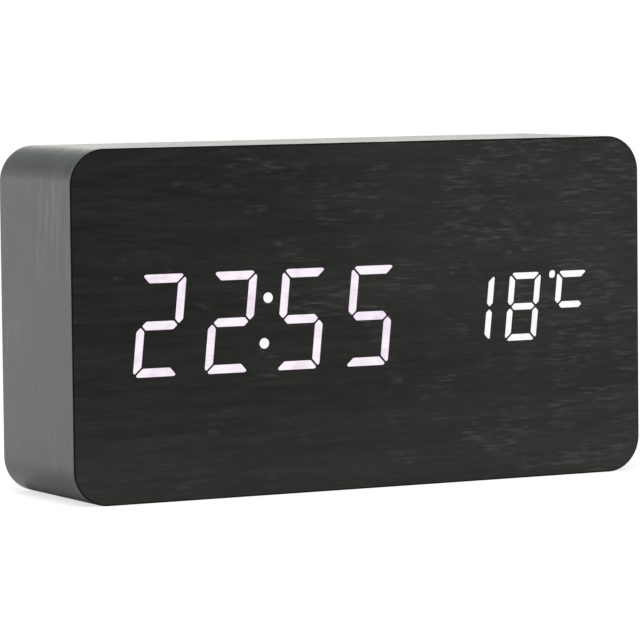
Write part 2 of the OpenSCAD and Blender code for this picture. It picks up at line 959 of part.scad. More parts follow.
module button_board_screws() {
    color("silver")
        for (p = corners(control_x, mid_z, boss_x, boss_z))
            translate([p[0], control_front_y, p[1]])
                rotate([90, 0, 0])
                    pan_screw(board_screw_d, button_screw_l, board_head_d, board_head_h);
}

module switch_bodies() {
    switch_top_y = control_back_y + switch_h;
    bore_y = switch_top_y - plunger_seat - button_travel - plunger_end;
    color("#303030")
        for (x = button_xs)
            difference() {
                slab(control_back_y, switch_top_y)
                    translate([x, button_z])
                        square(switch_s, center = true);
                bar_y(x, button_z, plunger_d + 2 * run_gap, bore_y, switch_top_y + eps);
            }
}

// A button with a retaining flange and a chamfered, slightly dished top
module button(place) {
    top_h = cover_out_y + button_proud - button_back_y;
    r = button_d / 2;
    color("#202020")
        turned(button_xs[place], button_back_y, button_z)
            rotate_extrude()
                polygon([[0, 0], [r + flange_over, 0], [r + flange_over, flange_t], [r, flange_t],
                    [r, top_h - button_edge], [r - button_edge, top_h],
                    [r * dish_share, top_h - button_dish], [0, top_h - button_dish]]);
}

module set_button() {
    button(0);
}

module up_button() {
    button(1);
}

module down_button() {
    button(2);
}

module plunger(place) {
    foot_y = button_back_y - plunger_h - plunger_seat;
    color("darkgray")
        bar_y(button_xs[place], button_z, plunger_d, foot_y, button_back_y);
}

module set_plunger() {
    plunger(0);
}

module up_plunger() {
    plunger(1);
}

module down_plunger() {
    plunger(2);
}

module power_socket() {
    shoulder_y = cover_in_y - socket_shoulder;
    color("#111111")
        difference() {
            union() {
                slab(control_back_y, shoulder_y)
                    translate([socket_x, socket_z])
                        square(socket_s, center = true);
                bar_y(socket_x, socket_z, socket_nose_d, shoulder_y - eps, cover_out_y);
            }
            bar_y(socket_x, socket_z, socket_bore_d, control_back_y + socket_floor, cover_out_y + eps);
        }
}

module socket_pin() {
    pin_h = cover_out_y - socket_pin_drop - control_back_y - socket_floor;
    r = socket_pin_d / 2;
    color("gold")
        turned(socket_x, control_back_y + socket_floor, socket_z)
            rotate_extrude()
                polygon([[0, 0], [r, 0], [r, pin_h - socket_pin_tip],
                    [r - socket_pin_tip, pin_h], [0, pin_h]]);
}

module buzzer() {
    buzzer_y = cover_in_y - buzzer_gap;
    color("#181818")
        difference() {
            bar_y(buzzer_x, buzzer_z, buzzer_d, control_back_y, buzzer_y);
            bar_y(buzzer_x, buzzer_z, buzzer_hole_d, buzzer_y - buzzer_hole_h, buzzer_y + eps);
        }
}

module microphone() {
    face_y = control_back_y + microphone_h;
    color("silver")
        difference() {
            bar_y(microphone_x, microphone_z, microphone_d, control_back_y, face_y);
            bar_y(microphone_x, microphone_z, microphone_face_d, face_y - microphone_face_h, face_y + eps);
        }
}

// A bead on two legs
module temperature_sensor() {
    bead_y = control_back_y + sensor_rise;
    color("saddlebrown") {
        translate([sensor_x, bead_y, sensor_z])
            sphere(d = sensor_d);
        for (s = [-1, 1])
            bar_y(sensor_x + s * sensor_spread / 2, sensor_z, sensor_leg_d, control_back_y, bead_y);
    }
}

// Battery

function cell_z(i) = bay_z1 - (i + 0.5) * cell_pitch;

// Even cells have their cap towards +X
function cap_sign(i) = i % 2 == 0 ? 1 : -1;

function cap_x(i) = cap_sign(i) > 0 ? bay_x1 - contact_t - seat_gap : bay_x0 + contact_t + seat_gap;

// A cell with its cap up, turned to lie along X
module cell(i) {
    r = cell_d / 2;
    foot_r = r - cell_foot_in;
    cap_r = cell_cap_d / 2;
    can_l = cell_l - cell_cap_h;
    color("goldenrod")
        translate([cap_x(i), cell_y, cell_z(i)])
            rotate([0, cap_sign(i) * 90, 0])
                translate([0, 0, -cell_l])
                    rotate_extrude()
                        polygon([[0, 0], [foot_r - cell_foot_h, 0], [foot_r, cell_foot_h],
                            [r - cell_edge, cell_foot_h], [r, cell_edge + cell_foot_h],
                            [r, can_l - cell_edge], [r - cell_edge, can_l], [cap_r, can_l],
                            [cap_r, cell_l - cell_cap_edge], [cap_r - cell_cap_edge, cell_l], [0, cell_l]]);
}

module battery_1() {
    cell(0);
}

module battery_2() {
    cell(1);
}

module battery_3() {
    cell(2);
}

module battery_4() {
    cell(3);
}

// A contact plate on the end wall at x, behind cells first to last
module contact_plate(x, first, last) {
    reach = cell_d / 2 - contact_margin;
    block([x, cell_y - contact_w / 2, cell_z(last) - reach],
        [x + contact_t, cell_y + contact_w / 2, cell_z(first) + reach]);
}

module battery_contacts() {
    color("silver") {
        contact_plate(bay_x0, 0, 1);
        contact_plate(bay_x0, 2, 3);
        contact_plate(bay_x1 - contact_t, 1, 2);
        for (i = [0, cells - 1]) {
            contact_plate(bay_x1 - contact_t, i, i);
            block([bay_x1 - contact_t, lug_y - contact_t / 2, cell_z(i) - lug_w / 2],
                [bay_x1 - contact_t + lug_l, lug_y + contact_t / 2, cell_z(i) + lug_w / 2]);
        }
    }
}

// Springs

// A tube along points: each ring lies square to the run of its neighbours
function ring_axis(points, i) =
    let (n = len(points), a = points[max(i - 1, 0)], b = points[min(i + 1, n - 1)])
    (b - a) / norm(b - a);

function ring(centre, axis, up, d, sides) =
    let (side = cross(axis, up) / norm(cross(axis, up)), top = cross(side, axis))
    [for (k = [0:sides - 1]) centre + d / 2 * (cos(360 * k / sides) * side + sin(360 * k / sides) * top)];

module tube(points, d, sides, up) {
    n = len(points);
    rings = [for (i = [0:n - 1]) each ring(points[i], ring_axis(points, i), up, d, sides)];
    walls = [for (i = [0:n - 2], k = [0:sides - 1])
        let (a = i * sides + k, b = i * sides + (k + 1) % sides)
        each [[a, b, b + sides], [a, b + sides, a + sides]]];
    first = [for (k = [1:sides - 2]) [0, k + 1, k]];
    last = [for (k = [1:sides - 2]) [(n - 1) * sides, (n - 1) * sides + k, (n - 1) * sides + k + 1]];
    polyhedron(points = rings, faces = concat(walls, first, last));
}

// A cone-shaped helix along +Z, with a straight lead off its wide end
function spring_path() =
    let (steps = ceil(spring_turns * spring_steps), low = spring_start * spring_wire,
        climb = spring_l - spring_wire / 2 - seat_gap - low)
    concat(
        [[spring_r0, 0, 0], [spring_r0, 0, spring_wire]],
        [for (i = [1:steps])
            let (share = i / steps, turn = 360 * spring_turns * share,
                r = spring_r0 + (spring_r1 - spring_r0) * share)
            [r * cos(turn), r * sin(turn), low + climb * share]]);

// The least distance between two turns of a spring, less its wire
spring_points = spring_path();
spring_last = len(spring_points) - 1;
spring_gap = min([for (a = [2:spring_last], b = [2:spring_last])
    if (b - a > spring_steps / 2) norm(spring_points[a] - spring_points[b])]) - spring_wire;
echo(spring_gap = spring_gap);

module battery_springs() {
    up = [0.31, 0.17, 1];
    color("silver")
        for (i = [0:cells - 1])
            translate([cap_sign(i) > 0 ? bay_x0 + contact_t : bay_x1 - contact_t, cell_y, cell_z(i)])
                rotate([0, cap_sign(i) * 90, 0])
                    tube(spring_points, spring_wire, spring_sides, up);
}

// The door: a plate that ends below in a round barrel with a pin at each end
module battery_door() {
    x0 = bay_mid_x - door_l / 2;
    x1 = bay_mid_x + door_l / 2;
    reach = door_gap + hinge_socket_l - hinge_end_gap;
    color("#1d1d1d") {
        difference() {
            along_x(x0, x1) {
                translate([door_in_y, hinge_z])
                    square([door_t, door_top_z - hinge_z]);
                translate([hinge_y, hinge_z])
                    circle(r = barrel_r);
            }
            for (s = [-1, 1])
                translate([bay_mid_x + s * tongue_w / 2, door_in_y + door_t / 2, door_top_z])
                    cube([tongue_cut, door_t + 2 * eps, 2 * tongue_l], center = true);
        }
        along_x(x0 - reach, x1 + reach)
            translate([hinge_y, hinge_z])
                circle(d = hinge_d);
        for (i = [0:2])
            translate([bay_mid_x - grip_w / 2, cover_out_y - eps, door_top_z - grip_drop - i * grip_pitch])
                cube([grip_w, grip_h + eps, grip_t]);
    }
}

// A lead from a lug of the bay to a pad on the control board, by points chosen along its way
function lead_path(i) =
    let (from = [bay_x1 - contact_t + lug_l, lug_y, cell_z(i)],
        pad_z = mid_z + (i == 0 ? lead_rise : -lead_rise),
        to = [control_x - control_w / 2 + lead_inset, control_front_y, pad_z],
        low_y = to[1] - lead_sag, out = from + [lead_stub, 0, 0], run = to - out)
    [from, out, [out[0] + run[0] * 0.25, low_y + lead_sag * 0.25, out[2] + run[2] * 0.15],
        [out[0] + run[0] * 0.5, low_y, out[2] + run[2] * 0.4],
        [out[0] + run[0] * 0.75, low_y, out[2] + run[2] * 0.7],
        [out[0] + run[0] * 0.95, low_y + lead_sag * 0.2, out[2] + run[2] * 0.95],
        to - [0, lead_stub, 0], to];

module lead(i) {
    tube(lead_path(i), lead_d, lead_sides, [0.2, 0.3, 1]);
}

module positive_lead() {
    color("red")
        lead(0);
}

module negative_lead() {
    color("#101010")
        lead(cells - 1);
}

case_core();
front_veneer();
edge_band();
rear_veneer();
rear_cover();
cover_screws();
segment_frame();
hour_segments();
minute_segments();
colon_dots();
temperature_segments();
degree_mark();
unlit_segments();
led_chips();
display_board();
display_board_screws();
controller_chip();
driver_chip();
clock_crystal();
cell_holder();
backup_cell();
display_header();
ribbon_cable();
button_board();
button_board_screws();
switch_bodies();
set_button();
up_button();
down_button();
set_plunger();
up_plunger();
down_plunger();
power_socket();
socket_pin();
buzzer();
microphone();
temperature_sensor();
button_header();
battery_door();
battery_1();
battery_2();
battery_3();
battery_4();
battery_contacts();
battery_springs();
positive_lead();
negative_lead();
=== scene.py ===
"""Veneered desk alarm clock: its looks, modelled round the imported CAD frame."""
import contextlib
import json
import math

import bmesh
import bpy
from bpy.props import FloatProperty, FloatVectorProperty, IntProperty, PointerProperty
from mathutils import Matrix, Vector

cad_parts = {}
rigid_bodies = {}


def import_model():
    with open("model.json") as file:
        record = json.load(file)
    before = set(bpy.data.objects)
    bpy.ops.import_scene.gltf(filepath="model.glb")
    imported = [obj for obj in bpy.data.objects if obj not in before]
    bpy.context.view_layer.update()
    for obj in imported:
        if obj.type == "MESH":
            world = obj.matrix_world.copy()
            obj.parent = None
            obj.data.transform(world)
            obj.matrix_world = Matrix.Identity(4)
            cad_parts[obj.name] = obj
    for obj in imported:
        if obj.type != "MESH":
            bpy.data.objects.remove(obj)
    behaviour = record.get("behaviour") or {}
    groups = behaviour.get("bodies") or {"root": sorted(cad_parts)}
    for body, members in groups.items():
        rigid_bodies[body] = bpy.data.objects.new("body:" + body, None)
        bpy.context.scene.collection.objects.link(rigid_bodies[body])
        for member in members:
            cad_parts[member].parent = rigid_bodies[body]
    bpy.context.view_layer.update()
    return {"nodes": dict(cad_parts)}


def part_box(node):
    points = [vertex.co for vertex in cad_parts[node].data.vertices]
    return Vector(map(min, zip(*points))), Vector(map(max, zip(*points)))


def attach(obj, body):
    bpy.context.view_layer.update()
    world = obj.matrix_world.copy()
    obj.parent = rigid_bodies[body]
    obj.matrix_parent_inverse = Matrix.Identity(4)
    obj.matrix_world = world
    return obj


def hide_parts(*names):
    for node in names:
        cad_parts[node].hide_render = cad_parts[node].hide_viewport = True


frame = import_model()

bl_info = {
    "name": "Veneered alarm clock",
    "version": (1, 0, 0),
    "blender": (4, 5, 0),
    "location": "View3D > Sidebar > Clock",
    "description": "Models the clock's visible pieces, their finishes and the studio round them",
    "category": "Object",
}

MM = 0.001
# Two places nearer than this are the same place
TOUCH = 0.002 * MM
# Faces that turn less than this from each other are one flat face
FLAT = math.radians(0.4)
# Least cosine between two ways that count as one
SAME_WAY = 0.999
# A wall that runs along an axis has less than this share of the axis in its normal
WALL_SHARE = 0.9
# Places of the axes in a vector
X, Y = 0, 1
RIGHT, BACK = (1, 0, 0), (0, 1, 0)
WHITE = (1.0, 1.0, 1.0)
GRAIN_MAP = "grain"
CELL_MAP = "sleeve"
LENS_ENDING = "_lenses"


# What a user may change

def length_setting(label, about, length):
    """A length in metres."""
    return FloatProperty(name=label, description=about, default=length, unit="LENGTH")


def amount_setting(label, about, amount):
    """An amount whose unit, if any, is named in what is said about it."""
    return FloatProperty(name=label, description=about, default=amount)


def angle_setting(label, about, angle):
    """An angle in radians."""
    return FloatProperty(name=label, description=about, default=angle, subtype="ANGLE")


def place_setting(label, about, place):
    """A place in metres."""
    return FloatVectorProperty(name=label, description=about, default=place, subtype="TRANSLATION", size=3)


def colour_setting(label, about, colour):
    """A linear colour or tint."""
    return FloatVectorProperty(name=label, description=about, default=colour, subtype="COLOR", size=3,
                               min=0, max=1)


class ClockSizes(bpy.types.PropertyGroup):
    """Sizes of the pieces that the frame doesn't give"""

    corner_radius: length_setting("Corner radius", "Radius of the case's corners from the front", 8.5 * MM)
    corner_steps: IntProperty(
        name="Corner steps", description="Faces round each corner of the case", default=18, min=4)
    front_edge: length_setting("Front edge", "Rounding of the front panel's outer edge", 0.35 * MM)
    rear_edge: length_setting("Rear edge", "Rounding of the rear rim's outer edge", 0.35 * MM)
    rim_edge: length_setting("Rim edge", "Rounding of the rear rim's inner edge", 0.15 * MM)
    rebate_radius: length_setting("Rebate radius", "Radius of the corners of the cover's rebate", 4 * MM)
    rebate_gap: length_setting("Rebate gap", "Clearance of the rear rim round the cover", 0.2 * MM)
    lens_corner: length_setting("Lens corner", "Rounding of the time's segments", 0.26 * MM)
    small_lens_corner: length_setting("Small lens corner", "Rounding of the temperature's segments", 0.2 * MM)
    window_gap: length_setting("Window gap", "Clearance of the front panel round a segment", 0.03 * MM)
    mould_edge: length_setting("Moulded edge", "Rounding of the edges of cover and door", 0.18 * MM)
    grip_edge: length_setting("Grip edge", "Rounding of the finger grips on the door", 0.16 * MM)


class ClockColours(bpy.types.PropertyGroup):
    """Colours of the finishes"""

    veneer: colour_setting("Veneer", "Stained wood between the grain's flecks", (0.0180, 0.0202, 0.0150))
    veneer_deep: colour_setting("Deep veneer", "Darker bands of the stained wood", (0.0050, 0.0061, 0.0040))
    fleck: colour_setting("Fleck", "Flecks of the grain that took less stain", (0.050, 0.050, 0.044))
    # Painted shade: the front's rounded edge is coloured darker to stand in for the line of shade along it
    edge_painted_shade: colour_setting("Arris", "Edge of the front, where the stain lies thick", (0.004, 0.004, 0.004))
    glow: colour_setting("Glow", "Lit segments of the time", (0.95, 0.88, 0.95))
    glow_shade: colour_setting("Dim glow", "The time, where the grain dims it", (0.79, 0.66, 0.80))
    white: colour_setting("White", "Lit colon and temperature", (0.98, 0.97, 0.97))
    white_shade: colour_setting("Dim white", "The white, where the grain dims it", (0.87, 0.84, 0.86))
    cover: colour_setting("Cover", "Moulded rear cover and battery door", (0.020, 0.020, 0.021))
    button: colour_setting("Button", "Moulded buttons", (0.028, 0.028, 0.029))
    screw: colour_setting("Screw", "Blackened steel of the cover screws", (0.10, 0.10, 0.105))
    socket: colour_setting("Socket", "Moulded power socket", (0.012, 0.012, 0.012))
    pin: colour_setting("Pin", "Plated pin of the power socket", (0.72, 0.66, 0.52))
    sleeve: colour_setting("Sleeve", "Printed sleeve of a cell", (0.020, 0.055, 0.16))
    sleeve_band: colour_setting("Sleeve band", "Band round the cap end of a cell", (0.55, 0.56, 0.58))
    can: colour_setting("Can", "Bare steel at a cell's ends", (0.62, 0.62, 0.61))
    spring: colour_setting("Spring", "Nickel on the contact springs", (0.66, 0.65, 0.61))
    positive: colour_setting("Positive lead", "Insulation of the positive lead", (0.45, 0.02, 0.02))
    negative: colour_setting("Negative lead", "Insulation of the negative lead", (0.02, 0.02, 0.02))


class ClockStage(bpy.types.PropertyGroup):
    """Camera and light"""

    yaw: angle_setting("Yaw", "Turn of the view from straight ahead", 0.483554)
    pitch: angle_setting("Pitch", "Fall of the view from level", 0.069845)
    roll: angle_setting("Roll", "Turn of the camera about its own axis", -0.010768)
    distance: length_setting("Distance", "From the camera to the point it looks at", 0.978551)
    target: place_setting("Target", "Point that the camera looks at", (-0.001511, 0.0, 0.038449))
    lens: amount_setting("Lens", "Focal length in mm", 231.795)
    sensor: amount_setting("Sensor", "Width of the camera's sensor in mm", 36.0)
    soft_light: amount_setting("Soft light", "Brightness of the even light from all round", 0.6)
    front_room: amount_setting("Front room", "Brightness of the room before the clock in its gloss", 0.14)
    backdrop: amount_setting("Backdrop", "Brightness of the sweep behind the clock in its gloss", 1.34)
    floor: amount_setting("Floor", "Brightness of the floor behind the clock in its gloss", 1.13)
    backdrop_tint: colour_setting("Backdrop tint", "Tint of the sweep in the gloss", (1.0, 0.985, 0.945))
    overhead_tint: colour_setting("Overhead tint", "Tint of the room above the sweep", (0.315, 0.345, 0.35))
    floor_tint: colour_setting("Floor tint", "Tint of the floor in the gloss", (0.96, 0.985, 0.965))
    paper: colour_setting("Paper", "Matt floor that takes the clock's shadow", (0.55, 0.55, 0.55))
    paper_lift: amount_setting("Paper lift", "White that the camera sees on the floor besides its light", 0.7)
    # Painted shadow: how far the darkening that is painted into the floor's glow reaches from the clock
    contact: length_setting("Contact", "How far the clock darkens the floor in its gloss", 80 * MM)
    floor_side: length_setting("Floor side", "Side of the square floor", 60.0)
    key_power: amount_setting("Key power", "Power of the large light above, in watts", 5.0)
    key_side: length_setting("Key side", "Side of the large light", 0.7)
    key_place: place_setting("Key place", "Place of the large light", (-0.35, -0.75, 1.0))
    card_power: amount_setting("Card power", "Power of the pale card on the right, in watts", 0.05)
    card_side: length_setting("Card side", "Side of the pale card", 0.2)
    card_place: place_setting("Card place", "Place of the pale card", (0.26, -0.32, 0.07))
    lamp_aim: place_setting("Lamp aim", "Point that both lights face", (0.0, 0.0, 40 * MM))


# Node graphs

def arithmetic(operation):
    """A Math node's operation, as an operator of Python and its reflected form."""

    def direct(signal, other):
        return signal.graph.node("ShaderNodeMath", {"operation": operation}, {0: signal, 1: other})

    def reflected(signal, other):
        return signal.graph.node("ShaderNodeMath", {"operation": operation}, {0: other, 1: signal})

    return direct, reflected


class Signal:
    """An output of a node; arithmetic on a value adds Math nodes to its graph."""

    __add__, __radd__ = arithmetic("ADD")
    __sub__, __rsub__ = arithmetic("SUBTRACT")
    __mul__, __rmul__ = arithmetic("MULTIPLY")
    __truediv__, __rtruediv__ = arithmetic("DIVIDE")

    def __init__(self, graph, socket):
        self.graph = graph
        self.socket = socket

    def out(self, name):
        """Another output of the same node."""
        return Signal(self.graph, self.socket.node.outputs[name])

    def step(self, low, high):
        """A smooth step from 0 at low to 1 at high."""
        return self.graph.node("ShaderNodeMapRange", {"interpolation_type": "SMOOTHSTEP"},
                               {"Value": self, "From Min": low, "From Max": high})

    def stripe(self, start, end, soft):
        """1 from start to end, with edges of a soft width."""
        return self.step(start, start + soft) * (1 - self.step(end, end + soft))


class Graph:
    """A node tree that nodes are added to one call at a time."""

    def __init__(self, tree):
        self.tree = tree

    def node(self, kind, settings=None, inputs=None, output=0):
        """Adds a node: its settings first, then the values or links of its sockets."""
        made = self.tree.nodes.new(kind)
        for name, value in (settings or {}).items():
            setattr(made, name, value)
        for socket, value in (inputs or {}).items():
            self.feed(made.inputs[socket], value)
        return Signal(self, made.outputs[output])

    def feed(self, socket, value):
        """Links a signal to a socket, or sets the socket's own value."""
        if isinstance(value, Signal):
            self.tree.links.new(value.socket, socket)
        else:
            socket.default_value = value

    def blend(self, share, first, second):
        """A colour between two others."""
        first, second = (c if isinstance(c, Signal) else (*c, 1.0) for c in (first, second))
        # A Mix node has its factor at 0, its two colours at 6 and 7, and their blend at 2
        return self.node("ShaderNodeMix", {"data_type": "RGBA"}, {0: share, 6: first, 7: second}, 2)

    def noise(self, place, size, detail=2.0, roughness=0.5):
        """Smooth noise from 0 to 1 over a place, in blots of a size."""
        inputs = {"Vector": place, "Scale": 1 / size, "Detail": detail, "Roughness": roughness}
        return self.node("ShaderNodeTexNoise", inputs=inputs)

    def joined(self, x, y, z):
        """A place made of three values."""
        return self.node("ShaderNodeCombineXYZ", inputs={"X": x, "Y": y, "Z": z})

    def split(self, place):
        """The three values of a place or a way."""
        parts = self.node("ShaderNodeSeparateXYZ", inputs={"Vector": place})
        return parts.out("X"), parts.out("Y"), parts.out("Z")

    def place(self):
        """The place on a piece, in the frame's metres."""
        return self.node("ShaderNodeTexCoord", output="Object")

    def rays(self):
        """Whether a ray comes from the camera, and whether it comes from gloss or glass."""
        ray = self.node("ShaderNodeLightPath")
        return ray.out("Is Camera Ray"), ray.out("Is Glossy Ray") + ray.out("Is Transmission Ray")


class Finish(Graph):
    """A material with one principled shader."""

    def __init__(self, name, **constants):
        self.material = bpy.data.materials.new(name)
        self.material.use_nodes = True
        super().__init__(self.material.node_tree)
        self.shader = self.tree.nodes["Principled BSDF"]
        self.shade(**constants)

    def shade(self, **sockets):
        """Sets or links sockets of the shader: a socket's name has _ for its spaces."""
        for name, value in sockets.items():
            colour = not isinstance(value, Signal) and hasattr(value, "__len__")
            self.feed(self.shader.inputs[name.replace("_", " ")], (*value, 1.0) if colour else value)

    def bump(self, height, depth, strength):
        """Raises the surface by a height from 0 to 1, over a depth in metres."""
        inputs = {"Height": height, "Distance": depth, "Strength": strength}
        self.shade(Normal=self.node("ShaderNodeBump", inputs=inputs, output="Normal"))

    def mapped(self, name):
        """The two values of a piece's own map."""
        return self.split(self.node("ShaderNodeUVMap", {"uv_map": name}))[:2]


# Finishes

def veneer_finish(name, coarse=1.0, crowd=0.0, crowd_along=0.0, crowd_across=0.0):
    """Black stained wood with short pale flecks: crowd adds to their share, also per mm along or across."""
    colours = bpy.context.scene.clock_colours
    finish = Finish(name, Specular_IOR_Level=0.42, Coat_Roughness=0.22)
    along, across = (value / MM for value in finish.mapped(GRAIN_MAP))

    def fibre(length, width, seed, lane, detail=2.0):
        """Marks of a length and a width in mm, which lie along the grain."""
        return finish.noise(finish.joined(along / length, lane / width, seed), 1.0, detail)

    # The grain's lanes wander across the sheet
    drift = fibre(70, 40, 1.5, across, 1.0) * 1.6
    sway = fibre(15, 10, 4.5, across, 1.0) * 0.35
    lane = across + drift + sway

    # Dashes show as flecks where they crowd, over long bands, streaks and fine pores
    share = fibre(9, 6, 7.5, lane) + along * crowd_along + across * crowd_across + crowd
    dashes = fibre(4 * coarse, 0.6 * coarse, 11.5, lane, 1.0).step(0.44, 0.74)
    flecks = dashes * share.step(0.48, 0.70)
    streaks = fibre(9 * coarse, 0.9 * coarse, 17.5, lane).step(0.34, 0.66)
    bands = fibre(46, 3.4, 23.5, lane).step(0.32, 0.68)
    pores = fibre(2.6, 0.22, 29.5, across)
    depth = bands * 0.5 + streaks * 0.5 - pores.step(0.50, 0.72) * 0.45

    # The lacquer shines in streaks, most of all in some patches
    patches = fibre(30, 26, 53.5, across, 1.0).step(0.44, 0.60)
    sheen = fibre(6 * coarse, 0.9 * coarse, 35.5, lane).step(0.40, 0.72) * (0.1 + patches * 0.9)

    ground = finish.blend(depth, colours.veneer_deep, colours.veneer)
    finish.shade(Base_Color=finish.blend(flecks, ground, colours.fleck),
                 Roughness=0.40 + flecks * 0.08 + pores * 0.08, Coat_Weight=0.60 + sheen * 0.30)
    finish.bump(flecks * 0.6 + streaks * 0.2 + pores * 0.3, depth=0.05 * MM, strength=0.5)
    return finish.material


def glow_finish(name, bright, dim):
    """A lens with its light on: the skin's grain dims it in streaks."""
    finish = Finish(name, Base_Color=(0.05, 0.05, 0.05), Roughness=0.45, Emission_Strength=1.0)
    x, _, z = finish.split(finish.place())
    streaks = finish.noise(finish.joined(x / (2.4 * MM), 0.5, z / (0.5 * MM)), 1.0)
    cloud = finish.noise(finish.place(), 3.2 * MM, detail=1.0)
    dull = streaks.step(0.40, 0.75) * 0.5 + cloud.step(0.40, 0.70) * 0.5
    finish.shade(Emission_Color=finish.blend(dull, bright, dim))
    return finish.material


def moulded_finish(name, colour, texture=0.35 * MM, roughness=0.55, gloss=0.45, depth=0.04 * MM):
    """Moulded plastic with a fine spark-eroded texture and a faint cloud in its colour."""
    finish = Finish(name, Specular_IOR_Level=gloss)
    pits = finish.noise(finish.place(), texture, detail=3.0, roughness=0.6)
    cloud = finish.noise(finish.place(), 9 * MM)
    pale = [min(1.0, c * 1.35 + 0.002) for c in colour]
    finish.shade(Base_Color=finish.blend(cloud.step(0.3, 0.7) * 0.6 + pits * 0.4, colour, pale),
                 Roughness=roughness + pits * 0.18 - 0.09)
    finish.bump(pits, depth, strength=0.8)
    return finish.material


def metal_finish(name, colour, roughness, stretch=(1.0, 1.0, 1.0)):
    """Plated or drawn metal: a stretch below 1 lengthens its fine lines along that axis."""
    finish = Finish(name, Metallic=1.0)
    drawn = finish.node("ShaderNodeMapping", inputs={"Vector": finish.place(), "Scale": stretch})
    lines = finish.noise(drawn, 0.4 * MM, detail=3.0, roughness=0.6)
    cloud = finish.noise(finish.place(), 4 * MM)
    dull = [c * 0.72 for c in colour]
    finish.shade(Base_Color=finish.blend(cloud.step(0.3, 0.7) * 0.5 + lines * 0.5, colour, dull),
                 Roughness=roughness + lines * 0.16 - 0.06)
    finish.bump(lines, depth=0.008 * MM, strength=0.5)
    return finish.material


def board_finish(name, paint_y):
    """Fibreboard: fine pale fibres in a brown ground, sprayed black behind a place along Y."""
    brown, pale, spray = (0.30, 0.20, 0.11), (0.52, 0.38, 0.24), (0.010, 0.010, 0.010)
    finish = Finish(name)
    fibres = finish.noise(finish.place(), 0.9 * MM, detail=5.0, roughness=0.7)
    _, depth, _ = finish.split(finish.place())
    paint = (depth + fibres * (0.8 * MM)).step(paint_y, paint_y + 0.6 * MM)
    bare = finish.blend(fibres.step(0.35, 0.65), brown, pale)
    finish.shade(Base_Color=finish.blend(paint * 0.96, bare, spray), Roughness=0.85 - paint * 0.15)
    finish.bump(fibres, depth=0.08 * MM, strength=0.7)
    return finish.material


def laminate_finish(name):
    """Green solder mask over copper tracks, which show as paler lines."""
    mask, over_copper = (0.012, 0.10, 0.035), (0.05, 0.22, 0.09)
    finish = Finish(name, Roughness=0.35, Coat_Roughness=0.2)
    fields = finish.node("ShaderNodeTexVoronoi", {"distance": "MANHATTAN", "feature": "F1"},
                         {"Vector": finish.place(), "Scale": 1 / (6 * MM)}, "Distance")
    tracks = fields.stripe(0.42, 0.52, 0.04)
    weave = finish.noise(finish.place(), 0.5 * MM)
    finish.shade(Base_Color=finish.blend(tracks * 0.7 + weave * 0.2, mask, over_copper))
    finish.bump(tracks, depth=0.04 * MM, strength=0.6)
    return finish.material


def ribbed_finish(name, dark, pale, pitch):
    """Flat cable: one ridge to each wire, side by side along X."""
    finish = Finish(name, Roughness=0.5)
    wires = finish.node(
        "ShaderNodeTexWave", {"wave_type": "BANDS", "bands_direction": "X", "wave_profile": "SIN"},
        {"Vector": finish.place(), "Scale": math.pi / (10 * pitch), "Distortion": 0.0})
    mottle = finish.noise(finish.place(), 2 * MM)
    finish.shade(Base_Color=finish.blend(wires * 0.8 + mottle * 0.2, dark, pale))
    finish.bump(wires, depth=0.2 * MM, strength=0.8)
    return finish.material


def sleeve_finish(name):
    """Printed sleeve of a cell: a dark ground, a pale band near the cap and the signs of both poles."""
    colours = bpy.context.scene.clock_colours
    finish = Finish(name, Specular_IOR_Level=0.5)
    # Places on the map are shares of the cell's length, from its foot and up or down from its axis
    share, rise = finish.mapped(CELL_MAP)
    soft, half_stroke, half_sign = 0.003, 0.007, 0.032
    plus_place, minus_place = 0.83, 0.10

    def bar(middle, half_length, half_rise):
        """A bar of a sign."""
        return (share.stripe(middle - half_length, middle + half_length, soft)
                * rise.stripe(-half_rise, half_rise, soft))

    band = share.stripe(0.76, 0.90, soft)
    line = share.stripe(0.725, 0.742, soft)
    plus = bar(plus_place, half_sign, half_stroke) + bar(plus_place, half_stroke, half_sign)
    minus = bar(minus_place, half_stroke, half_sign)
    foil = finish.noise(finish.place(), 0.8 * MM, detail=3.0)
    ground = finish.blend(foil * 0.35, colours.sleeve, [c * 0.6 for c in colours.sleeve])
    printed = finish.blend(band + line + minus, ground, colours.sleeve_band)
    finish.shade(Base_Color=finish.blend(plus, printed, colours.sleeve), Roughness=0.28 + foil * 0.12)
    finish.bump(foil, depth=0.01 * MM, strength=0.4)
    return finish.material


# Modelling by operators

def clear_selection():
    """Leaves object mode with nothing selected."""
    if bpy.context.mode != "OBJECT":
        bpy.ops.object.mode_set(mode="OBJECT")
    bpy.ops.object.select_all(action="DESELECT")


def activate(piece):
    """Selects one piece alone and makes it the active one."""
    clear_selection()
    piece.select_set(True)
    bpy.context.view_layer.objects.active = piece


@contextlib.contextmanager
def editing(piece):
    """Edit mode on one piece."""
    activate(piece)
    bpy.ops.object.mode_set(mode="EDIT")
    yield
    bpy.ops.object.mode_set(mode="OBJECT")


def pick(kind, test):
    """Selects the edges or faces that pass a test, in edit mode."""
    bpy.ops.mesh.select_mode(type=kind)
    bpy.ops.mesh.select_all(action="DESELECT")
    data = bpy.context.edit_object.data
    mesh = bmesh.from_edit_mesh(data)
    mesh.normal_update()
    chosen = [part for part in (mesh.edges if kind == "EDGE" else mesh.faces) if test(part)]
    if not chosen:
        raise RuntimeError(f"{bpy.context.edit_object.name}: nothing to select")
    for part in chosen:
        part.select_set(True)
    mesh.select_flush_mode()
    bmesh.update_edit_mesh(data)


def runs_along(axis):
    """A test for edges that lie along an axis."""
    return lambda edge: abs((edge.verts[1].co - edge.verts[0].co).normalized()[axis]) > SAME_WAY


def lies_at(axis, place):
    """A test for edges or faces whose points all lie at one place along an axis."""
    return lambda part: all(abs(v.co[axis] - place) < TOUCH for v in part.verts)


def faces_way(axis, sign):
    """A test for faces that look along an axis."""
    return lambda face: face.normal[axis] * sign > SAME_WAY


def end_at(axis, place, sign):
    """A test for faces at a place that look along an axis."""
    at_place, way = lies_at(axis, place), faces_way(axis, sign)
    return lambda face: way(face) and at_place(face)


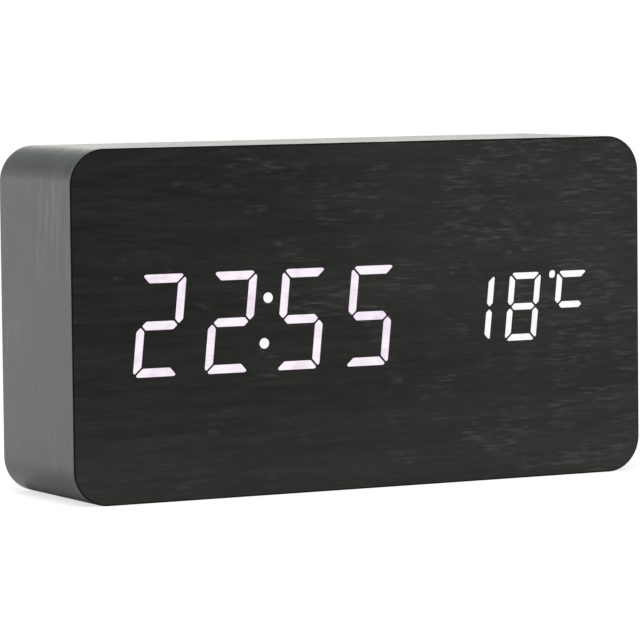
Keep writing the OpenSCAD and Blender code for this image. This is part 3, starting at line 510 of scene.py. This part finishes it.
def rim_at(axis, place, sign):
    """A test for outer edges at a place, between a face that looks along an axis and a wall."""
    at_place, way = lies_at(axis, place), faces_way(axis, sign)

    def test(edge):
        if len(edge.link_faces) != 2 or not edge.is_convex or not at_place(edge):
            return False
        walls = [face for face in edge.link_faces if abs(face.normal[axis]) < WALL_SHARE]
        return len(walls) == 1 and any(way(face) for face in edge.link_faces)

    return test


def round_edges(test, radius, steps=4):
    """Rounds the edges that pass a test, in edit mode."""
    pick("EDGE", test)
    bpy.ops.mesh.bevel(offset=radius, segments=steps, profile=0.5, affect="EDGES", loop_slide=False)


def inset(width):
    """Leaves a border of a width round the selected face, and keeps what is inside it selected."""
    bpy.ops.mesh.inset(thickness=width)


def extrude(x=0.0, y=0.0):
    """Draws the selected face out along X or Y."""
    bpy.ops.mesh.extrude_region_move(TRANSFORM_OT_translate={"value": (x, y, 0)})


def taper(share, middle):
    """Shrinks the selected face to a share of its size, across Y."""
    bpy.ops.transform.resize(value=(share, 1.0, share), center_override=middle)


def add_box(name, low, high):
    """A box between two corners, with its place in its mesh."""
    clear_selection()
    bpy.ops.mesh.primitive_cube_add(size=1, calc_uvs=False, location=(Vector(low) + Vector(high)) / 2)
    box = bpy.context.active_object
    box.name = box.data.name = name
    box.scale = Vector(high) - Vector(low)
    bpy.ops.object.transform_apply(location=True, rotation=True, scale=True)
    return box


def add_rod(name, foot, way, radius, length, sides=72):
    """A round bar that starts at its foot and runs a length along a way."""
    clear_selection()
    way = Vector(way)
    turn = way.to_track_quat("Z", "Y").to_euler()
    bpy.ops.mesh.primitive_cylinder_add(vertices=sides, radius=radius, depth=length, calc_uvs=False,
                                        location=Vector(foot) + way * length / 2, rotation=turn)
    rod = bpy.context.active_object
    rod.name = rod.data.name = name
    bpy.ops.object.transform_apply(location=True, rotation=True, scale=True)
    return rod


def add_rounded_block(name, low, high, radius, steps):
    """A box whose four edges along Y are rounded."""
    block = add_box(name, low, high)
    with editing(block):
        round_edges(runs_along(Y), radius, steps)
    return block


def copy_node(node, name):
    """A merged copy of a CAD node's mesh, as a piece of its own."""
    piece = bpy.data.objects.new(name, frame["nodes"][node].data.copy())
    piece.data.name = name
    piece.data.materials.clear()
    bpy.context.scene.collection.objects.link(piece)
    activate(piece)
    bpy.ops.mesh.customdata_custom_splitnormals_clear()
    with editing(piece):
        bpy.ops.mesh.select_all(action="SELECT")
        bpy.ops.mesh.remove_doubles(threshold=TOUCH)
        bpy.ops.mesh.dissolve_limited(angle_limit=FLAT)
    return piece


def copy_piece(piece, name):
    """A copy of a piece with its own mesh."""
    twin = piece.copy()
    twin.data = piece.data.copy()
    twin.name = twin.data.name = name
    bpy.context.scene.collection.objects.link(twin)
    return twin


def join(pieces):
    """Joins pieces into the first of them."""
    activate(pieces[0])
    for piece in pieces[1:]:
        piece.select_set(True)
    bpy.ops.object.join()
    return pieces[0]


def apply_modifier(piece, kind, **settings):
    """Adds a modifier and applies it."""
    activate(piece)
    modifier = piece.modifiers.new(kind.lower(), kind)
    for name, value in settings.items():
        setattr(modifier, name, value)
    bpy.ops.object.modifier_apply(modifier=modifier.name)


def cut(piece, cutter):
    """Cuts a cutter out of a piece, and removes the cutter."""
    apply_modifier(piece, "BOOLEAN", operation="DIFFERENCE", solver="EXACT", object=cutter)
    bpy.data.objects.remove(cutter)


def smooth(piece, degrees=32):
    """Smooth shading up to an angle, with flat faces kept flat."""
    activate(piece)
    bpy.ops.object.shade_smooth_by_angle(angle=math.radians(degrees))
    apply_modifier(piece, "WEIGHTED_NORMAL", keep_sharp=True)


def lay_map(piece, name, place):
    """Gives a piece a map: place turns a face's centre and a point into the map's two values."""
    layer = piece.data.uv_layers.new(name=name)
    for face in piece.data.polygons:
        for corner in face.loop_indices:
            point = piece.data.vertices[piece.data.loops[corner].vertex_index].co
            layer.data[corner].uv = place(face.center, point)


def sheet_place(centre, point):
    """The place of a point on a flat upright sheet, which every face of it shares."""
    return point.x, point.z


def settle(piece, body, slot, materials, node):
    """Gives a piece its finishes and its body, and hides the CAD node that it stands for."""
    for material in materials:
        piece.data.materials.append(material)
    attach(piece, body)
    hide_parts(node)


# Pieces

class CLOCK_OT_lit_segments(bpy.types.Operator):
    """Models the lit segments: round cornered lenses that shine through the front"""

    bl_idname = "clock.lit_segments"
    bl_label = "Lit segments"

    def execute(self, context):
        sizes, colours = context.scene.clock_sizes, context.scene.clock_colours
        tinted = glow_finish("lit_time", colours.glow, colours.glow_shade)
        white = glow_finish("lit_white", colours.white, colours.white_shade)
        lenses = {
            "hour_segments": (tinted, sizes.lens_corner),
            "minute_segments": (tinted, sizes.lens_corner),
            "colon_dots": (white, 0.0),
            "temperature_segments": (white, sizes.small_lens_corner),
            "degree_mark": (white, sizes.small_lens_corner),
        }
        for node, (material, corner) in lenses.items():
            lens = copy_node(node, node.split("_")[0] + LENS_ENDING)
            if corner:
                with editing(lens):
                    round_edges(runs_along(Y), corner)
            smooth(lens)
            settle(lens, "case", "lit_lens", [material], node)
        return {"FINISHED"}


class CLOCK_OT_front_panel(bpy.types.Operator):
    """Models the veneered front: a thin panel with a rounded edge and a window for each lit segment"""

    bl_idname = "clock.front_panel"
    bl_label = "Front panel"

    def execute(self, context):
        sizes, colours = context.scene.clock_sizes, context.scene.clock_colours
        low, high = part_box("front_veneer")
        panel = add_rounded_block("front_panel", low, high, sizes.corner_radius, sizes.corner_steps)
        with editing(panel):
            round_edges(rim_at(Y, low.y, -1), sizes.front_edge)
        lenses = [piece for piece in context.scene.objects if piece.name.endswith(LENS_ENDING)]
        windows = join([copy_piece(lens, "windows") for lens in lenses])
        windows.data.materials.clear()
        with editing(windows):
            bpy.ops.mesh.select_all(action="SELECT")
            bpy.ops.transform.shrink_fatten(value=sizes.window_gap)
        windows.parent = None
        cut(panel, windows)
        smooth(panel)
        # Faces of the rounded edge look neither straight ahead nor sideways; they take a darker colour, which
        # is painted shade along the front's edge
        least, most = 0.5, 0.99
        for face in panel.data.polygons:
            face.material_index = 1 if least < abs(face.normal.y) < most else 0
        lay_map(panel, GRAIN_MAP, sheet_place)
        wood = veneer_finish("front_veneer_wood", crowd=-0.035, crowd_along=0.0018, crowd_across=0.0009)
        # Painted shade: a darker finish for the rounded edge, in place of the shade along it
        edge_painted_shade = moulded_finish("front_arris", colours.edge_painted_shade, texture=0.3 * MM, roughness=0.6, gloss=0.2,
                               depth=0.01 * MM)
        settle(panel, "case", "black_veneer", [wood, edge_painted_shade], "front_veneer")
        return {"FINISHED"}


class CLOCK_OT_edge_wrap(bpy.types.Operator):
    """Models the veneer round the sides, with its grain running round the case"""

    bl_idname = "clock.edge_wrap"
    bl_label = "Edge wrap"

    def execute(self, context):
        sizes = context.scene.clock_sizes
        low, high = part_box("edge_band")
        radius = sizes.corner_radius
        wrap = add_rounded_block("edge_wrap", low, high, radius, sizes.corner_steps)
        with editing(wrap):
            pick("FACE", lambda face: abs(face.normal.y) > WALL_SHARE)
            bpy.ops.mesh.delete(type="FACE")
        thickness = low.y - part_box("front_veneer")[0].y
        apply_modifier(wrap, "SOLIDIFY", thickness=thickness, offset=-1.0, use_even_offset=True)
        smooth(wrap)
        middle_z = (low.z + high.z) / 2
        flat_x = (high.x - low.x) / 2 - radius
        flat_z = (high.z - low.z) / 2 - radius
        turn = radius * math.pi / 2

        def run(x, z):
            """Length round the outline from the middle of the top, by the side where x grows."""
            if z > flat_z:
                return x if x <= flat_x else flat_x + radius * math.atan2(x - flat_x, z - flat_z)
            if z >= -flat_z:
                return flat_x + turn + flat_z - z
            if x >= flat_x:
                return flat_x + turn + 2 * flat_z + radius * math.atan2(-z - flat_z, x - flat_x)
            return 2 * flat_x + 2 * turn + 2 * flat_z - x

        def wrap_place(centre, point):
            """The place of a point on the wrap: its length round the case, and its depth."""
            x, z = point.x, point.z - middle_z
            under = centre.z - middle_z < -flat_z and abs(centre.x) < flat_x
            length = run(x, z) if centre.x >= 0 or under else -run(-x, z)
            return length, point.y

        lay_map(wrap, GRAIN_MAP, wrap_place)
        wood = veneer_finish("edge_veneer_wood", coarse=1.6, crowd=0.12)
        settle(wrap, "case", "black_veneer", [wood], "edge_band")
        return {"FINISHED"}


class CLOCK_OT_rear_rim(bpy.types.Operator):
    """Models the veneered rim round the rear cover"""

    bl_idname = "clock.rear_rim"
    bl_label = "Rear rim"

    def execute(self, context):
        sizes = context.scene.clock_sizes
        low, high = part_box("rear_veneer")
        rim = add_rounded_block("rear_rim", low, high, sizes.corner_radius, sizes.corner_steps)
        cover_low, cover_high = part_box("rear_cover")
        gap = Vector((sizes.rebate_gap, 0, sizes.rebate_gap))
        hole_low = Vector((cover_low.x, low.y - MM, cover_low.z)) - gap
        hole_high = Vector((cover_high.x, high.y + MM, cover_high.z)) + gap
        cut(rim, add_rounded_block("rebate", hole_low, hole_high, sizes.rebate_radius, steps=12))
        rear_edges = rim_at(Y, high.y, 1)

        def inner(edge):
            """Whether an edge lies round the hole."""
            middle = (edge.verts[0].co + edge.verts[1].co) / 2
            return (abs(middle.x) < hole_high.x + MM
                    and hole_low.z - MM < middle.z < hole_high.z + MM)

        with editing(rim):
            bpy.ops.mesh.select_all(action="SELECT")
            bpy.ops.mesh.dissolve_limited(angle_limit=FLAT)
            round_edges(lambda edge: rear_edges(edge) and inner(edge), sizes.rim_edge, steps=3)
            round_edges(lambda edge: rear_edges(edge) and not inner(edge), sizes.rear_edge)
        smooth(rim)
        lay_map(rim, GRAIN_MAP, sheet_place)
        settle(rim, "case", "black_veneer", [veneer_finish("rear_veneer_wood")], "rear_veneer")
        return {"FINISHED"}


class CLOCK_OT_rear_cover(bpy.types.Operator):
    """Models the moulded rear cover with its battery bay"""

    bl_idname = "clock.rear_cover"
    bl_label = "Rear cover"

    def execute(self, context):
        sizes, colours = context.scene.clock_sizes, context.scene.clock_colours
        cover = copy_node("rear_cover", "back_cover")
        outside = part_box("rear_cover")[1].y
        with editing(cover):
            round_edges(rim_at(Y, outside, 1), sizes.mould_edge, steps=3)
        smooth(cover)
        settle(cover, "case", "cover_plastic", [moulded_finish("cover_mould", colours.cover)], "rear_cover")
        return {"FINISHED"}


class CLOCK_OT_cover_screws(bpy.types.Operator):
    """Models one pan head screw with a cross recess, and copies it to the four corners"""

    bl_idname = "clock.cover_screws"
    bl_label = "Cover screws"

    def execute(self, context):
        low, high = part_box("cover_screws")
        head_r, head_h, crown = 2.7 * MM, 1.5 * MM, 1.05 * MM
        shank_r, tip_share = 1.3 * MM, 0.3
        seat_y = high.y - head_h
        left, right = low.x + head_r, high.x - head_r
        bottom, top = low.z + head_r, high.z - head_r
        screw = add_rod("screw", (left, seat_y, bottom), BACK, head_r, head_h, sides=64)
        with editing(screw):
            round_edges(rim_at(Y, high.y, 1), crown, steps=6)
            pick("FACE", faces_way(Y, -1))
            inset(head_r - shank_r)
            extrude(y=low.y + shank_r - seat_y)
            extrude(y=-shank_r)
            taper(tip_share, (left, low.y, bottom))

        # The recess narrows towards its floor, and its cutter stands out above the head
        reach, half_width, depth, floor_share = 1.65 * MM, 0.32 * MM, 0.9 * MM, 0.55
        rise = Vector((0, 2 * MM, 0))
        floor = Vector((left, high.y - depth, bottom))
        for arm in (Vector((half_width, 0, reach)), Vector((reach, 0, half_width))):
            slot = add_box("recess", floor - arm, floor + arm + rise)
            with editing(slot):
                pick("FACE", faces_way(Y, -1))
                taper(floor_share, floor)
            cut(screw, slot)
        smooth(screw, degrees=28)

        material = metal_finish("blackened_screw", context.scene.clock_colours.screw, roughness=0.36)
        # Place of each screw, and the turn in degrees at which it came to rest
        places = [(left, bottom, 20), (right, bottom, 65), (left, top, -35), (right, top, 8)]
        to_axis = Matrix.Translation((-left, 0, -bottom))
        for number, (x, z, degrees) in enumerate(places, 1):
            twin = copy_piece(screw, f"cover_screw_{number}")
            turn = Matrix.Rotation(math.radians(degrees), 4, "Y")
            twin.data.transform(Matrix.Translation((x, 0, z)) @ turn @ to_axis)
            settle(twin, "case", "screw_steel", [material], "cover_screws")
        bpy.data.objects.remove(screw)
        return {"FINISHED"}


class CLOCK_OT_buttons(bpy.types.Operator):
    """Models one dished press button with its flange, and copies it to the three keys"""

    bl_idname = "clock.buttons"
    bl_label = "Buttons"

    def execute(self, context):
        low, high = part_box("set_button")
        flange_r = (high.x - low.x) / 2
        body_r, flange_t, edge = 3.5 * MM, 0.9 * MM, 0.45 * MM
        # Width and drop of each ring of the dish, from its edge inwards
        dish = [(0.25 * MM, 0.0), (0.5 * MM, 0.07 * MM), (0.8 * MM, 0.07 * MM), (0.8 * MM, 0.03 * MM)]
        start = (low + high) / 2
        foot = Vector((start.x, low.y, start.z))
        master = add_rod("key", foot, BACK, flange_r, flange_t)
        with editing(master):
            pick("FACE", faces_way(Y, 1))
            inset(flange_r - body_r)
            extrude(y=high.y - low.y - flange_t)
            round_edges(rim_at(Y, high.y, 1), edge, steps=5)
            pick("FACE", end_at(Y, high.y, 1))
            for width, drop in dish:
                inset(width)
                bpy.ops.transform.translate(value=(0, -drop, 0))
        smooth(master, degrees=40)
        material = moulded_finish("button_mould", context.scene.clock_colours.button, texture=0.3 * MM,
                                  roughness=0.42, gloss=0.5, depth=0.012 * MM)
        for key in ("set", "up", "down"):
            node = f"{key}_button"
            middle = sum(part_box(node), Vector()) / 2
            button = copy_piece(master, f"{key}_press_button")
            button.data.transform(Matrix.Translation(middle - start))
            settle(button, f"{key}_key", "button_plastic", [material], node)
        bpy.data.objects.remove(master)
        return {"FINISHED"}


class CLOCK_OT_power_inlet(bpy.types.Operator):
    """Models the power socket with its lipped bore, and the pin inside it"""

    bl_idname = "clock.power_inlet"
    bl_label = "Power inlet"

    def execute(self, context):
        colours = context.scene.clock_colours
        low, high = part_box("power_socket")
        pin_low, pin_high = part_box("socket_pin")
        nose_r, nose_edge, bore_r, lip = 3.6 * MM, 0.25 * MM, 1.85 * MM, 0.35 * MM
        plate, shoulder, base_edge, pin_edge = 2 * MM, 0.3 * MM, 0.3 * MM, 0.3 * MM
        middle = (low + high) / 2
        shoulder_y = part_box("rear_cover")[1].y - plate - shoulder
        nose = add_rod("inlet", (middle.x, shoulder_y, middle.z), BACK, nose_r, high.y - shoulder_y)
        with editing(nose):
            round_edges(rim_at(Y, high.y, 1), nose_edge)
            pick("FACE", end_at(Y, high.y, 1))
            inset(nose_r - nose_edge - bore_r - lip)
            inset(lip)
            bpy.ops.transform.translate(value=(0, -lip, 0))
            extrude(y=pin_low.y - high.y + lip)
        base = add_box("base", low, (high.x, shoulder_y, high.z))
        with editing(base):
            round_edges(runs_along(Y), base_edge, steps=2)
        inlet = join([nose, base])
        smooth(inlet)
        mould = moulded_finish("socket_mould", colours.socket, texture=0.5 * MM, roughness=0.32, gloss=0.5,
                               depth=0.006 * MM)
        settle(inlet, "case", "socket_plastic", [mould], "power_socket")

        pin_r, pin_l = (pin_high.x - pin_low.x) / 2, pin_high.y - pin_low.y
        pin = add_rod("inlet_pin", (middle.x, pin_low.y, middle.z), BACK, pin_r, pin_l, sides=32)
        with editing(pin):
            round_edges(rim_at(Y, pin_high.y, 1), pin_edge)
        smooth(pin)
        plated = metal_finish("pin_plate", colours.pin, roughness=0.25)
        settle(pin, "case", "pin_brass", [plated], "socket_pin")
        return {"FINISHED"}


class CLOCK_OT_battery_door(bpy.types.Operator):
    """Models the hinged battery door with its sprung tongue and finger grips"""

    bl_idname = "clock.battery_door"
    bl_label = "Battery door"

    def execute(self, context):
        sizes, colours = context.scene.clock_sizes, context.scene.clock_colours
        door = copy_node("battery_door", "door_panel")
        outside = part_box("rear_cover")[1].y
        grip_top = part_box("battery_door")[1].y
        with editing(door):
            round_edges(rim_at(Y, grip_top, 1), sizes.grip_edge, steps=3)
            round_edges(rim_at(Y, outside, 1), sizes.mould_edge, steps=3)
        smooth(door)
        settle(door, "door", "cover_plastic", [moulded_finish("door_mould", colours.cover)], "battery_door")
        return {"FINISHED"}


class CLOCK_OT_cells(bpy.types.Operator):
    """Models one cell with its rolled sleeve, cap and foot, and lays the four in the bay"""

    bl_idname = "clock.cells"
    bl_label = "Cells"

    def execute(self, context):
        low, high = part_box("battery_1")
        middle = (low + high) / 2
        radius, length = (high.z - low.z) / 2, high.x - low.x
        roll, well, sleeve_lap = 0.5 * MM, 0.35 * MM, 0.95 * MM
        cap_rim, cap_r, cap_h, cap_slope, cap_edge = 0.5 * MM, 1.9 * MM, 1.0 * MM, 0.3 * MM, 0.25 * MM
        foot_rim, foot_h, foot_slope, foot_edge = 0.4 * MM, 0.15 * MM, 0.35 * MM, 0.15 * MM
        can_x0, can_x1 = low.x + foot_h, high.x - cap_h
        cell = add_rod("cell", (can_x0, middle.y, middle.z), RIGHT, radius, can_x1 - can_x0)
        with editing(cell):
            round_edges(rim_at(X, can_x1, 1), roll)
            round_edges(rim_at(X, can_x0, -1), roll)
            pick("FACE", end_at(X, can_x1, 1))
            inset(cap_rim)
            extrude(x=-well)
            inset(radius - (roll + cap_rim) - cap_r - cap_slope)
            inset(cap_slope)
            extrude(x=well + cap_h)
            round_edges(rim_at(X, high.x, 1), cap_edge, steps=3)
            pick("FACE", end_at(X, can_x0, -1))
            inset(foot_rim)
            extrude(x=well)
            inset(foot_slope)
            extrude(x=-well - foot_h)
            round_edges(rim_at(X, low.x, -1), foot_edge, steps=2)
        lay_map(cell, CELL_MAP, lambda centre, point: (
            (point.x - low.x) / length, (point.z - middle.z) / length))
        # The sleeve laps in over the ends, and the steel inside it is bare
        for face in cell.data.polygons:
            arm = math.hypot(face.center.y - middle.y, face.center.z - middle.z)
            face.material_index = 0 if arm > radius - sleeve_lap else 1
        smooth(cell, degrees=35)
        steel = metal_finish("cell_steel", context.scene.clock_colours.can, roughness=0.28)
        materials = [sleeve_finish("cell_print"), steel]
        for number in range(1, 5):
            node = f"battery_{number}"
            there = sum(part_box(node), Vector()) / 2
            twin = copy_piece(cell, f"cell_{number}")
            turn = Matrix.Rotation(math.pi if number % 2 == 0 else 0.0, 4, "Z")
            twin.data.transform(Matrix.Translation(there) @ turn @ Matrix.Translation(-middle))
            settle(twin, "case", "cell_sleeve", materials, node)
        bpy.data.objects.remove(cell)
        return {"FINISHED"}


class CLOCK_OT_contact_springs(bpy.types.Operator):
    """Winds one cone shaped contact spring, and copies it to the four cells"""

    bl_idname = "clock.contact_springs"
    bl_label = "Contact springs"

    def execute(self, context):
        wide_r, narrow_r, wire_r, half_turns = 3.6 * MM, 2.3 * MM, 0.3 * MM, 7
        low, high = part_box("battery_springs")
        depth_y = (low.y + high.y) / 2
        cells = [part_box(f"battery_{number}") for number in range(1, 5)]
        climb = cells[0][0].x - low.x - 2 * wire_r
        clear_selection()
        bpy.ops.mesh.primitive_circle_add(vertices=14, radius=wire_r, calc_uvs=False,
                                          location=(wide_r, 0, wire_r), rotation=(math.pi / 2, 0, 0))
        coil = bpy.context.active_object
        bpy.ops.object.transform_apply(location=True, rotation=True, scale=True)
        apply_modifier(coil, "SCREW", axis="Z", angle=math.pi, screw_offset=climb / half_turns,
                       iterations=half_turns, steps=16, render_steps=16, use_merge_vertices=True)
        for vertex in coil.data.vertices:
            share = min(1.0, max(0.0, (vertex.co.z - wire_r) / climb))
            arm = vertex.co.xy.length
            vertex.co.xy *= (arm - (wide_r - narrow_r) * share) / arm
        with editing(coil):
            bpy.ops.mesh.select_all(action="SELECT")
            bpy.ops.mesh.remove_doubles(threshold=TOUCH)
            bpy.ops.mesh.fill_holes(sides=0)
            bpy.ops.mesh.normals_make_consistent(inside=False)
        smooth(coil, degrees=50)
        material = metal_finish("spring_nickel", context.scene.clock_colours.spring, roughness=0.26)
        for number, (cell_low, cell_high) in enumerate(cells, 1):
            sign = 1 if number % 2 else -1
            foot_x = low.x if sign > 0 else high.x
            twin = copy_piece(coil, f"contact_spring_{number}")
            place = Matrix.Translation((foot_x, depth_y, (cell_low.z + cell_high.z) / 2))
            twin.data.transform(place @ Matrix.Rotation(sign * math.pi / 2, 4, "Y"))
            settle(twin, "case", "contact_steel", [material], "battery_springs")
        bpy.data.objects.remove(coil)
        return {"FINISHED"}


class CLOCK_OT_leads(bpy.types.Operator):
    """Rounds the two battery leads"""

    bl_idname = "clock.leads"
    bl_label = "Battery leads"

    def execute(self, context):
        colours = context.scene.clock_colours
        sleeves = {"positive_lead": ("red_sleeve", colours.positive),
                   "negative_lead": ("black_sleeve", colours.negative)}
        for node, (slot, colour) in sleeves.items():
            lead = copy_node(node, node + "_wire")
            apply_modifier(lead, "SUBSURF", levels=2, render_levels=2)
            smooth(lead, degrees=60)
            material = moulded_finish(slot + "_pvc", colour, texture=0.6 * MM, roughness=0.4)
            settle(lead, "case", slot, [material], node)
        return {"FINISHED"}


class CLOCK_OT_inner_parts(bpy.types.Operator):
    """Gives the solids inside the case, which keep their CAD shape, their finishes"""

    bl_idname = "clock.inner_parts"
    bl_label = "Inner parts"

    def execute(self, context):
        zinc = metal_finish("zinc_plate", (0.50, 0.50, 0.51), roughness=0.34)
        nickel = metal_finish("contact_nickel", (0.68, 0.67, 0.63), roughness=0.24, stretch=(1.0, 1.0, 0.1))
        can = metal_finish("bright_can", (0.62, 0.62, 0.62), roughness=0.24, stretch=(0.2, 1.0, 1.0))
        black = moulded_finish("black_mould", (0.014, 0.014, 0.014))
        epoxy = moulded_finish("chip_epoxy", (0.02, 0.02, 0.022), texture=0.25 * MM, roughness=0.6)
        nylon = moulded_finish("natural_nylon", (0.70, 0.66, 0.55), texture=0.5 * MM, roughness=0.45)
        switch = moulded_finish("switch_mould", (0.03, 0.03, 0.03), texture=0.4 * MM, roughness=0.45)
        lens = moulded_finish("unlit_lens", (0.55, 0.55, 0.53), texture=0.8 * MM, roughness=0.3)
        phosphor = moulded_finish("phosphor", (0.75, 0.62, 0.20), texture=0.3 * MM, roughness=0.3)
        dip = moulded_finish("sensor_dip", (0.30, 0.10, 0.03), texture=0.5 * MM, roughness=0.3)
        cable = ribbed_finish("flat_cable", (0.22, 0.22, 0.23), (0.50, 0.50, 0.51), pitch=1.27 * MM)
        board = board_finish("fibreboard", paint_y=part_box("rear_cover")[0].y)
        laminate = laminate_finish("solder_mask")
        finishes = {
            board: ["case_core"],
            black: ["segment_frame", "cell_holder", "buzzer"],
            lens: ["unlit_segments"],
            phosphor: ["led_chips"],
            laminate: ["display_board", "button_board"],
            zinc: ["display_board_screws", "button_board_screws"],
            epoxy: ["controller_chip", "driver_chip"],
            can: ["clock_crystal", "backup_cell", "microphone"],
            nylon: ["display_header", "button_header"],
            cable: ["ribbon_cable"],
            switch: ["switch_bodies", "set_plunger", "up_plunger", "down_plunger"],
            dip: ["temperature_sensor"],
            nickel: ["battery_contacts"],
        }
        for material, nodes in finishes.items():
            for node in nodes:
                materials = frame["nodes"][node].data.materials
                materials.clear()
                materials.append(material)
        return {"FINISHED"}


class CLOCK_OT_stage(bpy.types.Operator):
    """Sets up the camera, the pale floor and the soft studio light"""

    bl_idname = "clock.stage"
    bl_label = "Stage"

    # Shares of Y in a way between which the front room turns into the sweep
    SWEEP_TURN = (-0.45, 0.35)
    # Shares of Z between which the sweep turns into the room above it, and how they rise with X
    OVERHEAD_TURN, OVERHEAD_LEAN = (0.06, 0.40), 0.22
    # Places along Y between which the floor turns bright
    FLOOR_TURN = (-0.25, 0.15)

    def execute(self, context):
        stage = context.scene.clock_stage
        self.set_camera(context.scene, stage)
        self.set_room(context.scene, stage)
        self.set_floor(stage)
        self.set_lamp("key", stage.key_place, stage.lamp_aim, stage.key_side, stage.key_power)
        self.set_lamp("card", stage.card_place, stage.lamp_aim, stage.card_side, stage.card_power)
        context.scene.view_settings.view_transform = "Standard"
        return {"FINISHED"}

    def set_camera(self, scene, stage):
        """Places the camera on its line of sight."""
        ahead = Vector((math.sin(stage.yaw) * math.cos(stage.pitch),
                        math.cos(stage.yaw) * math.cos(stage.pitch), -math.sin(stage.pitch)))
        level = Vector((math.cos(stage.yaw), -math.sin(stage.yaw), 0.0))
        upright = level.cross(ahead)
        right = math.cos(stage.roll) * level + math.sin(stage.roll) * upright
        above = right.cross(ahead)
        camera = bpy.data.objects.new("camera", bpy.data.cameras.new("camera"))
        scene.collection.objects.link(camera)
        turn = Matrix((right, above, -ahead)).transposed().to_4x4()
        camera.matrix_world = Matrix.Translation(Vector(stage.target) - ahead * stage.distance) @ turn
        camera.data.lens = stage.lens
        camera.data.sensor_width = stage.sensor
        scene.camera = camera

    def set_room(self, scene, stage):
        """Lights the clock evenly: a white sweep behind it, a dimmer room before it and above."""
        scene.world = bpy.data.worlds.new("studio")
        scene.world.use_nodes = True
        room = Graph(scene.world.node_tree)
        seen, gloss = room.rays()
        x, y, z = room.split(room.node("ShaderNodeTexCoord", output="Generated"))
        sweep = stage.front_room + y.step(*self.SWEEP_TURN) * (stage.backdrop - stage.front_room)
        level = seen + (1 - seen) * (gloss * sweep + (1 - gloss) * stage.soft_light)
        overhead = (z - x * self.OVERHEAD_LEAN).step(*self.OVERHEAD_TURN)
        mirrored = room.blend(overhead, stage.backdrop_tint, stage.overhead_tint)
        background = scene.world.node_tree.nodes["Background"]
        room.feed(background.inputs["Color"], room.blend(gloss, WHITE, mirrored))
        room.feed(background.inputs["Strength"], level)

    def set_floor(self, stage):
        """Lays a pale floor that the camera sees as white but for the clock's shadow."""
        clear_selection()
        bpy.ops.mesh.primitive_plane_add(size=stage.floor_side, calc_uvs=False)
        floor = bpy.context.active_object
        floor.name = "floor"
        material = bpy.data.materials.new("floor_paper")
        material.use_nodes = True
        paper = Graph(material.node_tree)
        seen, gloss = paper.rays()
        _, y, _ = paper.split(paper.place())
        sweep = stage.front_room + y.step(*self.FLOOR_TURN) * (stage.floor - stage.front_room)
        # Painted contact shadow: ambient occlusion darkens the floor's glow near the clock, as the clock sees
        # it in its gloss
        shade = paper.node("ShaderNodeAmbientOcclusion", {"samples": 8}, {"Distance": stage.contact}, "AO")
        matt = paper.node("ShaderNodeBsdfDiffuse", inputs={"Color": (*stage.paper, 1.0)})
        lit = paper.node("ShaderNodeEmission", inputs={"Strength": seen * stage.paper_lift})
        white = paper.node("ShaderNodeAddShader", inputs={0: matt, 1: lit})
        glow = {"Color": (*stage.floor_tint, 1.0), "Strength": sweep * shade}
        mirrored = paper.node("ShaderNodeEmission", inputs=glow)
        both = paper.node("ShaderNodeMixShader", inputs={0: gloss, 1: white, 2: mirrored})
        paper.feed(material.node_tree.nodes["Material Output"].inputs["Surface"], both)
        floor.data.materials.append(material)

    def set_lamp(self, name, place, aim, side, power):
        """Hangs a square soft light that faces a point."""
        lamp = bpy.data.objects.new(name, bpy.data.lights.new(name, "AREA"))
        bpy.context.scene.collection.objects.link(lamp)
        lamp.data.size = side
        lamp.data.energy = power
        lamp.location = place
        lamp.rotation_euler = (Vector(aim) - Vector(place)).to_track_quat("-Z", "Y").to_euler()


class CLOCK_PT_pieces(bpy.types.Panel):
    """Lists the clock's pieces and what can be changed about them"""

    bl_label = "Alarm clock"
    bl_idname = "CLOCK_PT_pieces"
    bl_space_type = "VIEW_3D"
    bl_region_type = "UI"
    bl_category = "Clock"

    def draw(self, context):
        for operator in OPERATORS:
            self.layout.operator(operator.bl_idname)
        for name, group in GROUPS.items():
            box = self.layout.box()
            for setting in group.__annotations__:
                box.prop(getattr(context.scene, name), setting)


OPERATORS = (
    CLOCK_OT_lit_segments, CLOCK_OT_front_panel, CLOCK_OT_edge_wrap, CLOCK_OT_rear_rim, CLOCK_OT_rear_cover,
    CLOCK_OT_cover_screws, CLOCK_OT_buttons, CLOCK_OT_power_inlet, CLOCK_OT_battery_door, CLOCK_OT_cells,
    CLOCK_OT_contact_springs, CLOCK_OT_leads, CLOCK_OT_inner_parts, CLOCK_OT_stage)
GROUPS = {"clock_sizes": ClockSizes, "clock_colours": ClockColours, "clock_stage": ClockStage}


def register():
    """Makes the clock's settings, operators and panel known."""
    for made in (*GROUPS.values(), *OPERATORS, CLOCK_PT_pieces):
        bpy.utils.register_class(made)
    for name, group in GROUPS.items():
        setattr(bpy.types.Scene, name, PointerProperty(type=group))


def unregister():
    """Takes them away again."""
    for name in GROUPS:
        delattr(bpy.types.Scene, name)
    for made in (CLOCK_PT_pieces, *reversed(OPERATORS), *GROUPS.values()):
        bpy.utils.unregister_class(made)


def main():
    """Models every piece in turn and sets the stage."""
    register()
    for operator in OPERATORS:
        group, name = operator.bl_idname.split(".")
        getattr(getattr(bpy.ops, group), name)()


if __name__ == "__main__":
    main()
